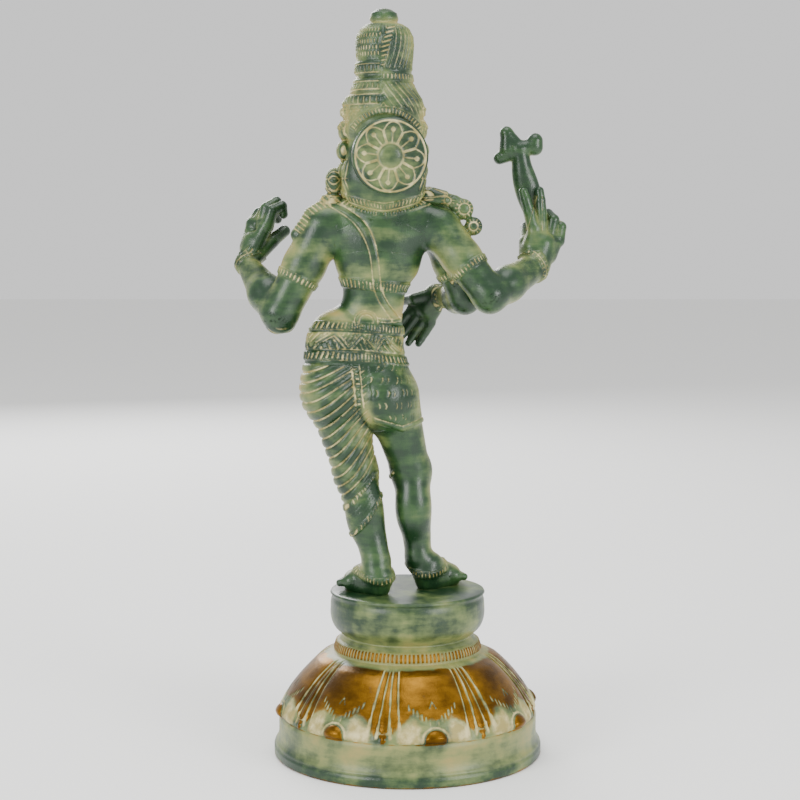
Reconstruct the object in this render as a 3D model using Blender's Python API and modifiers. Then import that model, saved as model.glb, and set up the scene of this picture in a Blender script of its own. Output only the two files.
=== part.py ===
"""Brass statue of a god who is half man and half woman, on a round lotus pedestal.

The whole work is one casting, so it is one solid. The figure stands with its hip swung out, has
three arms and a battle axe, and carries a wheel behind its head. It faces -Y, its left half (+X) is
the woman and its right half (-X) is the man. The origin is on the underside of the pedestal, on its
axis, with +Z up.

The pedestal and the wheel are turned. The figure is a rough union of limbs that is remeshed, drawn
onto one smooth surface around those limbs, carved along its normals and thinned out.
"""

import math

import bmesh
import bpy
import numpy as np
from mathutils import Matrix, Vector

# Driving dimensions, in metres
FIGURE_HEIGHT = 0.350  # soles to the tip of the crown
FLANGE_RADIUS = 0.0820
FLANGE_HEIGHT = 0.0068
BAND_RADIUS = 0.0790
BAND_HEIGHT = 0.0182
DOME_TOP_RADIUS = 0.0455
DOME_HEIGHT = 0.0380
COLLAR_RADIUS = 0.0405
COLLAR_HEIGHT = 0.0090
SLAB_RADIUS = 0.0473
SLAB_HEIGHT = 0.0285
EDGE_ROUND = 0.0015
GROOVE_DEPTH = 0.0012
PETAL_RELIEF = 0.0022
WHEEL_RADIUS = 0.0222
WHEEL_THICKNESS = 0.0135
WHEEL_RELIEF = 0.0012

# Heights and pitch of the figure's carving, in shares
BAND_RELIEF = 1.2
THREAD_RELIEF = 0.9
CROWN_RELIEF = 1.1
FOLD_RELIEF = 1.6
FOLD_PITCH = 5.8

# Counts
PETALS = 8
FIRST_PETAL = math.radians(12.0)
WHEEL_PETALS = 8
TURNED_SEGMENTS = 64
WHEEL_SEGMENTS = 32
FIGURE_TRIANGLES = 5700

# The figure is drawn in shares: 350 of them make its height, so one is a millimetre here
SHARE = FIGURE_HEIGHT / 350.0
PEDESTAL_HEIGHT = FLANGE_HEIGHT + BAND_HEIGHT + DOME_HEIGHT + COLLAR_HEIGHT + SLAB_HEIGHT
VOXEL = 1.0
FITTING_PASSES = 3
MERGE_DISTANCE = 0.00002

# Joints of the figure, in shares, from the middle of the slab's top
HIP_L = (42.5, 4, 119)
KNEE_L = (31, 4, 72)
ANKLE_L = (18.8, 14, 20)
HIP_R = (10, 3, 118)
KNEE_R = (-2.2, -5, 72)
ANKLE_R = (-6.8, -2, 19)
SHOULDER_L = (50.4, 0, 221)
ELBOW_L = (76.8, 3, 168.8)
WRIST_L = (100.4, -33, 199)
SHOULDER_R = (-19.3, 2, 220)
ELBOW_R = (-49.2, 11, 179.8)
WRIST_R = (-79, -19, 197)
SHOULDER_F = (-19, -9, 216)
ELBOW_F = (-35, -9, 177.3)
WRIST_F = (-25, -44, 178)
HEAD_X = 14.0
CROWN_Y = 1.0
WHEEL_CENTRE = (9.8, 33.0, 261.5)
WHEEL_NORMAL = (-0.10, 1.0, -0.04)


def unit(vector):
    """The vector at length one."""
    return np.asarray(vector, float) / np.linalg.norm(vector)


class Bone:
    """A limb between two points, with a radius at each end."""

    def __init__(self, start, end, start_radius, end_radius):
        self.start = np.asarray(start, float)
        self.end = np.asarray(end, float)
        self.start_radius = start_radius
        self.end_radius = end_radius

    def share_along(self, points):
        """How far along the limb each point lies, from 0 to 1."""
        axis = self.end - self.start
        return np.clip((points - self.start) @ axis / (axis @ axis), 0.0, 1.0)

    def distance(self, points):
        """Distance from each point to the limb's skin, negative inside."""
        share = self.share_along(points)
        centre = self.start + share[:, None] * (self.end - self.start)
        radius = self.start_radius + share * (self.end_radius - self.start_radius)
        return np.linalg.norm(points - centre, axis=1) - radius

    def add_rough(self, mesh):
        """Add the limb to the mesh as the hull of its two end balls."""
        corners = []
        for centre, radius in ((self.start, self.start_radius), (self.end, self.end_radius)):
            place = Matrix.Translation(Vector(centre))
            ball = bmesh.ops.create_uvsphere(mesh, u_segments=14, v_segments=8, radius=radius, matrix=place)
            corners += ball["verts"]
        edges = list({edge for corner in corners for edge in corner.link_edges})
        bmesh.ops.delete(mesh, geom=edges, context="EDGES_FACES")
        hull = bmesh.ops.convex_hull(mesh, input=corners)
        inside = set(hull["geom_interior"]) | set(hull["geom_unused"])
        loose = [corner for corner in corners if corner in inside]
        bmesh.ops.delete(mesh, geom=loose, context="VERTS")


class Ball:
    """An egg-shaped mass with three radii, turned about Z, Y and X in degrees."""

    def __init__(self, centre, radii, turn=(0, 0, 0)):
        self.centre = np.asarray(centre, float)
        self.radii = np.asarray(radii, float)
        turned = Matrix.Rotation(math.radians(turn[0]), 3, "Z")
        turned = turned @ Matrix.Rotation(math.radians(turn[1]), 3, "Y")
        self.frame = turned @ Matrix.Rotation(math.radians(turn[2]), 3, "X")

    def distance(self, points):
        """Distance from each point to the skin, near enough close to it, negative inside."""
        local = (points - self.centre) @ np.array(self.frame)
        outward = np.linalg.norm(local / self.radii, axis=1)
        slope = np.linalg.norm(local / self.radii**2, axis=1)
        return outward * (outward - 1.0) / np.maximum(slope, 1e-9)

    def add_rough(self, mesh):
        """Add the mass to the mesh as a stretched ball."""
        place = Matrix.Translation(Vector(self.centre)) @ self.frame.to_4x4()
        place = place @ Matrix.Diagonal((*self.radii, 1.0))
        bmesh.ops.create_uvsphere(mesh, u_segments=20, v_segments=12, radius=1.0, matrix=place)


class Spun:
    """A mass turned about an upright axis, with a radius at each of several heights."""

    def __init__(self, axis, heights, radii):
        self.axis = axis
        self.heights = heights
        self.radii = radii

    def distance(self, points):
        """Distance sideways or upward from each point to the skin, negative inside."""
        reach = np.hypot(points[:, 0] - self.axis[0], points[:, 1] - self.axis[1])
        sideways = reach - np.interp(points[:, 2], self.heights, self.radii)
        beyond = np.maximum(self.heights[0] - points[:, 2], points[:, 2] - self.heights[-1])
        return np.maximum(sideways * 0.9, beyond)

    def add_rough(self, mesh):
        """Add the mass to the mesh as a stack of short cones."""
        steps = zip(zip(self.heights, self.radii), zip(self.heights[1:], self.radii[1:]))
        for (low, low_radius), (high, high_radius) in steps:
            place = Matrix.Translation((*self.axis, 0.5 * (low + high)))
            bmesh.ops.create_cone(
                mesh,
                cap_ends=True,
                segments=48,
                radius1=low_radius,
                radius2=high_radius,
                depth=high - low,
                matrix=place,
            )


class Limb:
    """A place and directions to build a hand or foot on."""

    def __init__(self, root, along, back, size):
        self.root = np.asarray(root, float)
        self.along = unit(along)
        self.side = unit(np.cross(along, back))
        self.back = np.cross(self.side, self.along)
        self.size = size

    def at(self, forward, across, up):
        """A point, in shares of the hand's or foot's length."""
        step = forward * self.along + across * self.side + up * self.back
        return self.root + self.size * step

    def heading(self, curl, spread):
        """Direction of a finger bone that curls to the palm and spreads sideways, in degrees."""
        bent, fanned = math.radians(curl), math.radians(spread)
        forward = math.cos(bent) * self.along - math.sin(bent) * self.back
        return math.cos(fanned) * forward + math.sin(fanned) * self.side


def finger(hand, base, length, curls, spread, radius):
    """The bones of one finger, from its base out to its tip."""
    bones = []
    start = hand.at(*base)
    for number, (part, curl) in enumerate(zip((0.44, 0.33, 0.23), curls)):
        end = start + hand.size * length * part * hand.heading(curl, spread)
        thin = 1.0 - 0.1 * number
        bones.append(Bone(start, end, radius * thin, radius * (thin - 0.1)))
        start = end
    return bones


def hand_masses(hand, finger_curls, finger_spreads, thumb_side, thumb_bends, build):
    """A palm with four fingers and a thumb; build holds wrist, width and knuckles in shares."""
    wrist, width, knuckles = build
    palm = [Bone(hand.root, hand.at(0.30, 0.0, 0.0), wrist * hand.size, 0.19 * width * hand.size)]
    for side in (-1, 1):
        heel, rise = hand.at(0.22, 0.13 * side * width, 0.0), hand.at(knuckles, 0.17 * side * width, 0.0)
        palm.append(Bone(heel, rise, 0.13 * width * hand.size, 0.10 * hand.size))
    fingers = []
    lengths = (0.50, 0.55, 0.51, 0.42)
    for number, (curls, spread) in enumerate(zip(finger_curls, finger_spreads)):
        base = (knuckles, thumb_side * width * (0.21 - 0.14 * number), 0.0)
        fingers += finger(hand, base, lengths[number], curls, spread, 0.088 * hand.size)
    joint, tip = (hand.at(*bend) for bend in thumb_bends)
    thumb = [
        Bone(hand.at(0.10, thumb_side * 0.12, -0.05), joint, 0.12 * width * hand.size, 0.10 * hand.size),
        Bone(joint, tip, 0.095 * hand.size, 0.08 * hand.size),
    ]
    return palm, fingers + thumb


def left_hand():
    """The woman's hand, its fingertips brought together as if around a flower stem."""
    hand = Limb(WRIST_L, (-0.34, -0.16, 0.93), (0.70, 0.68, 0.10), 46.0)
    curls = ((-8, 44, 145), (-10, 40, 140), (10, 84, 110), (20, 90, 115))
    thumb = ((0.40, 0.14, -0.18), (0.60, 0.12, -0.34))
    return hand_masses(hand, curls, (6, 2, -3, -8), 1, thumb, (0.13, 0.75, 0.54))


def right_hand():
    """The man's rear hand, two fingers upright against the axe and two folded."""
    root = np.add(WRIST_R, (1.2, 0, 0))
    hand = Limb(root, (-0.34, -0.22, 0.90), (-0.45, 0.88, 0.10), 46.0)
    curls = ((-4, 2, 6), (-4, 2, 6), (-6, 60, 150), (-4, 70, 155))
    thumb = ((0.28, -0.16, -0.14), (0.52, -0.14, -0.34))
    return hand_masses(hand, curls, (-40, -26, -12, -14), -1, thumb, (0.19, 1.0, 0.46))


def front_hand():
    """The man's front hand, hanging open with its palm toward the hip."""
    root = np.add(WRIST_F, (7.5, -2, 0.4))
    hand = Limb(root, (0.55, -0.05, -0.83), (0.0, -1.0, 0.06), 36.0)
    curls = ((4, 12, 20), (2, 10, 18), (2, 10, 18), (4, 12, 20))
    thumb = ((0.26, -0.28, -0.10), (0.40, -0.40, 0.10))
    return hand_masses(hand, curls, (-6, -3, 0, 2), -1, thumb, (0.20, 1.0, 0.46))


def foot_masses(ankle, heel, toward, width):
    """A foot with five toes, flat on the slab; width is 1 when the big toe lies to its left."""
    foot = Limb(heel, toward, (0, 0, 1), 36.0)
    body = [
        Ball(foot.at(0.04, 0.0, 0.17), (8.2, 8.2, 7.2)),
        Bone(ankle, foot.at(0.12, 0.0, 0.28), 8.0, 8.6),
        Bone(foot.at(0.14, 0.0, 0.26), foot.at(0.62, 0.0, 0.09), 7.8, 5.6),
        Bone(foot.at(0.58, 0.13, 0.06), foot.at(0.58, -0.13, 0.06), 5.0, 4.8),
        Bone(foot.at(0.06, 0.0, 0.0), foot.at(0.60, 0.0, 0.0), 6.4, 6.6),
    ]
    toes = []
    for number in range(5):
        across = width * (0.19 - 0.095 * number)
        reach = 0.93 - 0.045 * number
        radius = 3.3 if number == 0 else 2.5
        root, tip = foot.at(0.66, across, 0.05), foot.at(reach, across * 1.15, 0.03)
        toes.append(Bone(root, tip, radius, radius * 0.9))
    return body, toes


def torso_masses():
    """Pelvis, waist, ribs, chest and the slopes from neck to shoulders."""
    return [
        Ball((43.5, 5, 125), (20.4, 19, 23)),
        Ball((13.5, 4, 120), (17.2, 18, 22)),
        Ball((45.5, 13, 121), (15, 14, 16)),
        Ball((16, 12, 117), (14, 13, 16)),
        Ball((31, 1, 141), (29, 18, 16)),
        Ball((40, 0, 153), (20.5, 15, 19)),
        Ball((24, -4, 156), (21, 15, 16)),
        Ball((20.5, -1, 177), (18.4, 14.5, 22)),
        Ball((18, 0, 199), (25.5, 16.5, 18)),
        Ball((16.5, 1, 214), (31, 16, 15)),
        Bone((16, 2, 226), (44, 1, 224), 11, 10),
        Bone((16, 2, 226), (-12, 2, 223), 11, 10),
        Bone((14, 3, 238), (33, 1, 229), 9, 8),
        Bone((14, 3, 238), (-5, 2, 228), 9, 8),
    ]


def chest_masses():
    """The woman's breast on the left and the man's flat chest on the right."""
    return [Ball((31, -14, 206), (11.5, 12.5, 11.5)), Ball((3, -11, 212), (14, 8, 10))]


def leg_masses(hip, knee, ankle, widths, calf):
    """Thigh, knee, shin and calf."""
    thigh, joint, shin = widths
    calf_centre, calf_radii = calf
    return [
        Bone(hip, knee, thigh, joint),
        Bone(knee, ankle, joint, shin),
        Ball(calf_centre, calf_radii),
        Ball(np.add(knee, (0, -3, 1)), (joint * 0.9, joint * 0.9, joint)),
    ]


def arm_masses(shoulder, elbow, wrist, widths):
    """Rounded shoulder, upper arm, elbow and forearm."""
    top, upper, joint, lower = widths
    middle = np.add(np.multiply(0.55, shoulder), np.multiply(0.45, elbow))
    belly = np.add(np.multiply(0.62, elbow), np.multiply(0.38, wrist))
    return [
        Bone(shoulder, middle, top, upper),
        Bone(middle, elbow, upper, joint),
        Bone(elbow, belly, joint, joint * 1.04),
        Bone(belly, wrist, joint * 1.04, lower),
    ]


def head_masses():
    """Skull, face, jaw and neck, with the hair that hides the nape."""
    return [
        Ball((HEAD_X, 2, 267), (22.0, 20, 21)),
        Ball((HEAD_X, -8.5, 261.5), (17, 15.5, 19.5)),
        Ball((HEAD_X, -15.0, 248.0), (8.0, 7.0, 6.0)),
        Bone((HEAD_X, 0, 230), (HEAD_X, -2, 250), 12.0, 12.0),
        Ball((HEAD_X, 9, 250), (25.5, 13, 24)),
    ]


def arch(middle, reach, rise, depth, radii, steps=6):
    """A row of short bones along a bow: sideways reach, rise and depth at its ends, two radii."""
    bones = []
    last = None
    for step in range(steps + 1):
        share = 2.0 * step / steps - 1.0
        point = np.add(middle, (share * reach, depth * share**2, rise * share**2))
        radius = radii[0] + (radii[1] - radii[0]) * abs(share)
        if last is not None:
            bones.append(Bone(last[0], point, last[1], radius))
        last = (point, radius)
    return bones


def face_masses():
    """Nose, lips, eyelids, brows and ears, calm and plain."""
    masses = [
        Bone((HEAD_X, -23.0, 268.0), (HEAD_X, -26.2, 258.4), 1.4, 2.0),
        Ball((HEAD_X, -18.2, 245.8), (4.6, 4.4, 4.0)),
        Ball((HEAD_X, -22.0, 274.0), (1.2, 1.6, 2.4)),
    ]
    masses += arch((HEAD_X, -22.6, 252.4), 4.8, 0.9, 2.0, (1.1, 0.6))
    masses += arch((HEAD_X, -22.4, 249.9), 3.8, 1.3, 1.4, (1.5, 0.7))
    for side in (-1, 1):
        masses.append(Ball((HEAD_X + side * 2.4, -24.2, 257.5), (1.5, 1.9, 1.4)))
        masses.append(Ball((HEAD_X + side * 7.4, -20.2, 263.8), (4.5, 3.3, 2.5), (side * 20, 0, 0)))
        masses.append(Ball((HEAD_X + side * 8.5, -15.0, 255.5), (7.0, 6.4, 7.0)))
        masses += arch((HEAD_X + side * 8.2, -20.6, 270.4), 5.6, -1.6, 0.6, (0.9, 0.7), 5)
        masses.append(Ball((HEAD_X + side * 19.5, -4.0, 262.0), (3.2, 4.8, 8.5)))
        masses.append(Ball((HEAD_X + side * 20.0, -5.0, 248.5), (4.0, 5.2, 5.6)))
    return masses


def crown_masses():
    """The tall crown, widest round the brow and closed by a bulb and a knob."""
    tiers = ((272, 22.0), (276, 23.4), (282, 23.8), (289, 23.4), (296, 22.2), (300, 19.6), (304, 17.6))
    bulb = ((310, 16.6), (316, 16.2), (322, 16.8), (328, 17.2), (333, 16.8), (337, 14.8), (340, 11.4))
    knob = ((342, 8.4), (344, 8.6), (347, 7.8), (349, 4.6), (350, 1.0))
    heights, radii = zip(*tiers, *bulb, *knob)
    return [Spun((HEAD_X, CROWN_Y), heights, radii)]


def dress_masses():
    """Hair lock and tassel on the shoulders, side curls and the ends of the cloth."""
    masses = [
        Ball((44.0, 1, 248), (5.4, 7, 8)),
        Bone((45, 2, 236), (57, 3, 228), 5.2, 4.8),
        Bone((57, 3, 228), (66.0, 3, 216.0), 4.8, 4.2),
        Bone((-12, 2, 239.5), (-28, 2, 235), 4.6, 4.8),
        Ball((-33.2, 3, 231.2), (6.4, 5.6, 6.4)),
        Ball((-39.5, 4, 221.0), (5.4, 5.0, 5.6)),
        Bone((27, -3, 90), (19.6, -3, 57), 2.8, 3.0),
        Bone((26, -9, 95), (23.0, -11, 60), 3.2, 2.8),
    ]
    for side, shift in ((1, 1.0), (-1, -0.8)):
        for number in range(5):
            height = 243.0 + 11.5 * number
            reach = 23.4 + shift - (3.0, 0.8, 0.2, 1.4, 3.4)[number]
            masses.append(Ball((HEAD_X + side * reach, 0, height), (4.6, 8.5, 6.2)))
    return masses


def axe_masses():
    """Battle axe: a stout handle, two lobes on one side and a crescent on the other."""
    neck = (-68.8, -30, 268.0)
    return [
        Ball((-74.0, -29, 244), (7.8, 5.4, 22), (0, 16, 0)),
        Bone((-72.0, -30, 252), neck, 6.0, 5.6),
        Bone((-61.2, -30, 278.0), (-61.8, -30, 268.0), 3.9, 5.4),
        Bone(neck, (-60.8, -30, 278.6), 5.2, 3.8),
        Bone(neck, (-56.8, -30, 263.0), 5.2, 3.8),
        Bone(neck, (-77.4, -30, 270.6), 4.6, 5.2),
        Bone((-78.6, -30, 273.6), (-78.6, -30, 269.4), 4.8, 4.8),
    ]


def figure_groups():
    """Every mass of the figure, as groups of (blend within the group, blend to the rest, masses)."""
    hands = [left_hand(), right_hand(), front_hand()]
    left_foot = foot_masses(ANKLE_L, (15.2, 18, 4), (0.78, -0.62, 0), 1)
    right_foot = foot_masses(ANKLE_R, (-9.6, 0, 4), (-0.755, -0.656, 0), -1)
    left_calf = ((26.2, 12.5, 50), (10.8, 9.5, 19))
    right_calf = ((-3.4, 2.5, 50), (10.6, 9.0, 18))
    groups = [
        (9.0, 0.0, torso_masses()),
        (3.0, 4.0, chest_masses()),
        (5.0, 6.0, leg_masses(HIP_L, KNEE_L, ANKLE_L, (17.6, 12.4, 8.4), left_calf)),
        (5.0, 6.0, leg_masses(HIP_R, KNEE_R, ANKLE_R, (16.2, 11.6, 7.8), right_calf)),
        (4.0, 5.0, arm_masses(SHOULDER_L, ELBOW_L, WRIST_L, (13.4, 12.4, 10.8, 6.2))),
        (4.0, 5.0, arm_masses(SHOULDER_R, ELBOW_R, WRIST_R, (12.8, 11.4, 10.2, 8.2))),
        (4.0, 4.0, arm_masses(SHOULDER_F, ELBOW_F, WRIST_F, (11.0, 10.2, 9.0, 7.0))),
        (5.0, 4.0, head_masses()),
        (1.2, 1.6, face_masses()),
        (0.0, 1.5, crown_masses()),
        (2.0, 1.5, dress_masses()),
        (1.5, 1.0, axe_masses()),
    ]
    for palm, fingers in hands:
        groups.append((3.0, 3.0, palm))
        groups.append((0.6, 1.4, fingers))
    for body, toes in (left_foot, right_foot):
        groups.append((3.0, 3.0, body))
        groups.append((0.5, 1.2, toes))
    return groups


def blended(first, second, blend):
    """Union of two distances, with a fillet of about the blend's width."""
    if blend <= 0.0:
        return np.minimum(first, second)
    overlap = np.maximum(blend - np.abs(first - second), 0.0) / blend
    return np.minimum(first, second) - overlap * overlap * blend * 0.25


def figure_distance(points, groups):
    """Distance from each point to the figure's smooth skin, negative inside."""
    whole = None
    for inner_blend, outer_blend, masses in groups:
        part = masses[0].distance(points)
        for mass in masses[1:]:
            part = blended(part, mass.distance(points), inner_blend)
        whole = part if whole is None else blended(whole, part, outer_blend)
    return whole


def ridge(offset, half_width):
    """A rounded ridge profile: 1 on the line, 0 beyond the half width."""
    return np.clip(1.0 - (offset / half_width) ** 2, 0.0, 1.0)


def plateau(offset, half_width, edge):
    """A flat band profile with soft edges."""
    return np.clip((half_width - np.abs(offset)) / edge, 0.0, 1.0)


def limb_band(points, start, end, place, half_width, reach):
    """A raised band round a limb, at a share of its length, within reach of its axis."""
    bone = Bone(start, end, reach, reach)
    axis = bone.end - bone.start
    length = np.linalg.norm(axis)
    along = (points - bone.start) @ axis / length
    near = bone.distance(points) < 0.0
    return plateau(along - place * length, half_width, 0.9) * near


def wrapped_angle(points, centre_x, centre_y):
    """Angle round an upright axis: 0 at the back, positive toward the figure's left."""
    return np.arctan2(points[:, 0] - centre_x, points[:, 1] - centre_y)


def torso_mask(points):
    """1 on the trunk, 0 on the arms that hang beside it, with a soft edge."""
    x, z = points[:, 0], points[:, 2]
    left_edge = np.interp(z, (140, 160, 185, 205), (75, 58, 47, 48))
    right_edge = np.interp(z, (140, 160, 185, 205), (-14, -6, -8, -14))
    inside = np.minimum(left_edge - x, x - right_edge)
    return np.clip(inside / 1.5, 0, 1) * np.clip((215.0 - z) / 2.0, 0, 1) * (points[:, 1] > -28)


def carve_torso(points):
    """Necklace, sacred thread, chest band and belts, as raised heights."""
    x, y, z = points.T
    trunk = torso_mask(points)
    angle = wrapped_angle(points, HEAD_X, 0)
    reach = np.hypot(x - HEAD_X, y)
    turned = np.abs(angle) / math.pi * 2.0
    droop = np.where(turned < 1.0, 231.5 + 10.0 * turned**1.5, 241.5 - 22.0 * (turned - 1.0))
    height = BAND_RELIEF * plateau(z - droop, 4.2, 1.4) * np.clip((32.0 - reach) / 1.5, 0, 1)
    chest = 185.3 + 0.10 * (x - HEAD_X)
    height += BAND_RELIEF * plateau(z - chest, 3.6, 1.2) * trunk
    low_trunk = np.maximum(trunk, np.clip((162.0 - z) / 4.0, 0, 1))
    for middle, half_width in ((160.0, 3.3), (151.0, 4.6), (142.0, 3.3)):
        sag = middle - 0.10 * (HEAD_X - x) - 0.0022 * (x - 22.0) ** 2
        height += BAND_RELIEF * plateau(z - sag, half_width, 1.0) * low_trunk
    route = np.interp(z, (159, 180, 190, 207, 223, 235), (2, 17.5, 18.5, 20, 27, 45))
    thread = ridge(x - route, 2.8) * (y > 0) * (z > 163) * (z < 236)
    return height + THREAD_RELIEF * thread


def carve_dress(points):
    """Slanting folds on the woman's leg and the hems of both garments."""
    x, z = points[:, 0], points[:, 2]
    outer = np.interp(z, (45, 72, 100, 125, 145), (42, 46, 57, 64, 65))
    inner = np.interp(z, (40, 60, 95, 145), (8, 12, 20, 25))
    slope = np.interp(z, (60, 110, 145), (1.0, 0.62, 0.36))
    level = z - slope * (outer - x)
    below_belt = np.clip((139.0 - z) / 2.0, 0, 1)
    on_leg = np.clip((x - inner) / 8.0, 0, 1) * below_belt * np.clip((level - 49.0) / 2.0, 0, 1)
    phase = np.mod(level, FOLD_PITCH) / FOLD_PITCH
    height = FOLD_RELIEF * (1.0 - np.abs(2.0 * phase - 1.0) ** 2.0) * on_leg
    below = np.clip((x - 7.0) / 2.0, 0, 1) * (z < 70)
    height += BAND_RELIEF * (plateau(level - 46.0, 2.6, 1.0) + plateau(level - 28.0, 2.6, 1.0)) * below
    hem = 98.5 + 0.35 * np.abs(x - 3.0)
    on_right = np.clip((inner - x) / 3.0, 0, 1) * (z > 70)
    garment = np.clip((z - hem) / 1.2, 0, 1) * below_belt
    return height + BAND_RELIEF * (0.8 * plateau(z - hem - 1.4, 2.0, 1.0) + 0.5 * garment) * on_right


def carve_limbs(points):
    """Armlets, bracelets and anklets."""
    bands = (
        (SHOULDER_L, ELBOW_L, 0.60, 3.0, 16.0),
        (SHOULDER_R, ELBOW_R, 0.60, 3.0, 16.0),
        (SHOULDER_F, ELBOW_F, 0.60, 2.8, 14.0),
        (ELBOW_L, WRIST_L, 0.97, 3.2, 12.0),
        (ELBOW_R, WRIST_R, 0.95, 3.2, 11.5),
        (ELBOW_F, WRIST_F, 0.95, 3.2, 11.0),
        ((20.7, 13, 20), (17.6, 15.5, 4), 0.62, 3.0, 17.0),
        ((-9.0, -2, 20), (-5.0, 1.5, 4), 0.62, 3.0, 17.0),
    )
    height = np.zeros(len(points))
    for start, end, place, half_width, reach in bands:
        height = np.maximum(height, limb_band(points, start, end, place, half_width, reach))
    return BAND_RELIEF * height


def carve_crown(points):
    """Ringed tiers on the woman's half of the crown and long strands on the man's half."""
    z = points[:, 2]
    angle = wrapped_angle(points, HEAD_X, CROWN_Y)
    womans = np.clip(0.5 + 6.0 * np.sin(angle), 0, 1)
    tiers = np.zeros(len(points))
    for level in (298.0, 305.5, 312.5):
        tiers = np.maximum(tiers, plateau(z - level, 2.8, 1.4))
    strands = 0.5 + 0.5 * np.cos(14.0 * (angle + 0.012 * (z - 320.0)))
    gathered = plateau(z - 310.0, 2.4, 1.0)
    mans = np.where(z > 313, strands, np.maximum(gathered, 0.7 * strands))
    on_crown = np.clip((z - 292.0) / 3.0, 0, 1) * np.clip((338.0 - z) / 3.0, 0, 1)
    bulb = 0.6 * ridge(z - 326.0, 11.0)
    height = (womans * (tiers + bulb) + (1.0 - womans) * mans) * on_crown
    brow = 287.0 + 5.0 * np.cos(angle)
    return CROWN_RELIEF * (height + plateau(z - brow, 2.6, 1.2) * (z > 270))


def carve_eyes(points):
    """Shallow hollows above the eyelids and a parting between the lips."""
    x, y, z = points.T
    face = y < -14
    height = np.zeros(len(points))
    for side in (-1, 1):
        across = (x - HEAD_X - side * 7.0) / 6.0
        upward = (z - 266.6) / 2.0
        height -= 0.9 * np.exp(-across**2 - upward**2) * face
    parting = ridge((z - 251.0) / 1.0, 0.9) * (np.abs(x - HEAD_X) < 4.6)
    return height - 0.6 * parting * (y < -20)


def vertex_arrays(mesh):
    """Positions and normals of a mesh's vertices."""
    count = len(mesh.vertices)
    points = np.empty(count * 3, dtype=np.float32)
    normals = np.empty(count * 3, dtype=np.float32)
    mesh.vertices.foreach_get("co", points)
    mesh.vertices.foreach_get("normal", normals)
    return points.reshape(-1, 3).astype(float), normals.reshape(-1, 3).astype(float)


def move_vertices(mesh, points):
    """Put every vertex at its new position."""
    mesh.vertices.foreach_set("co", points.astype(np.float32).ravel())
    mesh.update()


def evaluated_mesh(thing):
    """The mesh of an object with its modifiers applied."""
    bpy.context.view_layer.update()
    shown = thing.evaluated_get(bpy.context.evaluated_depsgraph_get())
    return bpy.data.meshes.new_from_object(shown)


def apply_modifiers(thing):
    """Replace an object's mesh by its evaluated one and clear its modifiers."""
    mesh = evaluated_mesh(thing)
    thing.modifiers.clear()
    thing.data = mesh


def new_object(name, mesh, collection):
    """Put a mesh in the scene as a named object."""
    thing = bpy.data.objects.new(name, mesh)
    collection.objects.link(thing)
    return thing


def rough_mesh(groups):
    """One mesh of all the masses, each a closed body, still overlapping."""
    whole = bmesh.new()
    piece = bpy.data.meshes.new("mass")
    for _, _, masses in groups:
        for mass in masses:
            shape = bmesh.new()
            mass.add_rough(shape)
            shape.to_mesh(piece)
            shape.free()
            whole.from_mesh(piece)
    bpy.data.meshes.remove(piece)
    mesh = bpy.data.meshes.new("figure")
    whole.to_mesh(mesh)
    whole.free()
    return mesh


def make_figure(collection):
    """The figure alone, carved and thinned, standing on the top of the slab."""
    groups = figure_groups()
    figure = new_object("figure", rough_mesh(groups), collection)
    remesh = figure.modifiers.new("Skin", "REMESH")
    remesh.mode = "VOXEL"
    remesh.voxel_size = VOXEL
    apply_modifiers(figure)
    for _ in range(FITTING_PASSES):
        points, normals = vertex_arrays(figure.data)
        gap = np.clip(figure_distance(points, groups), -2.0, 2.0)
        move_vertices(figure.data, points - 0.85 * gap[:, None] * normals)
    points, normals = vertex_arrays(figure.data)
    relief = carve_torso(points) + carve_dress(points) + carve_limbs(points)
    relief += carve_crown(points) + carve_eyes(points)
    move_vertices(figure.data, points + relief[:, None] * normals)
    thin = figure.modifiers.new("Thin", "DECIMATE")
    figure.data.calc_loop_triangles()
    thin.ratio = min(1.0, FIGURE_TRIANGLES / len(figure.data.loop_triangles))
    apply_modifiers(figure)
    stand = Matrix.Translation((0, 0, PEDESTAL_HEIGHT)) @ Matrix.Scale(SHARE, 4)
    figure.data.transform(stand)
    return figure


def arc(centre, radii, start, end, steps):
    """Points on a quarter or part of an ellipse, as (radius, height); angles in degrees."""
    points = []
    for step in range(steps + 1):
        angle = math.radians(start + (end - start) * step / steps)
        points.append((centre[0] + radii[0] * math.cos(angle), centre[1] + radii[1] * math.sin(angle)))
    return points


def dome_outline(steps=7):
    """The bell-shaped lotus dome, from its foot up to its top, as (radius, height)."""
    foot = FLANGE_HEIGHT + BAND_HEIGHT
    fullness = 1.32
    widest = BAND_RADIUS - 0.6 * EDGE_ROUND
    points = [(widest, foot)]
    for step in range(1, steps + 1):
        climb = math.sin(0.5 * math.pi * step / steps)
        reach = (1.0 - climb**fullness) ** (1.0 / fullness)
        points.append((DOME_TOP_RADIUS + (widest - DOME_TOP_RADIUS) * reach, foot + DOME_HEIGHT * climb))
    return points


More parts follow.
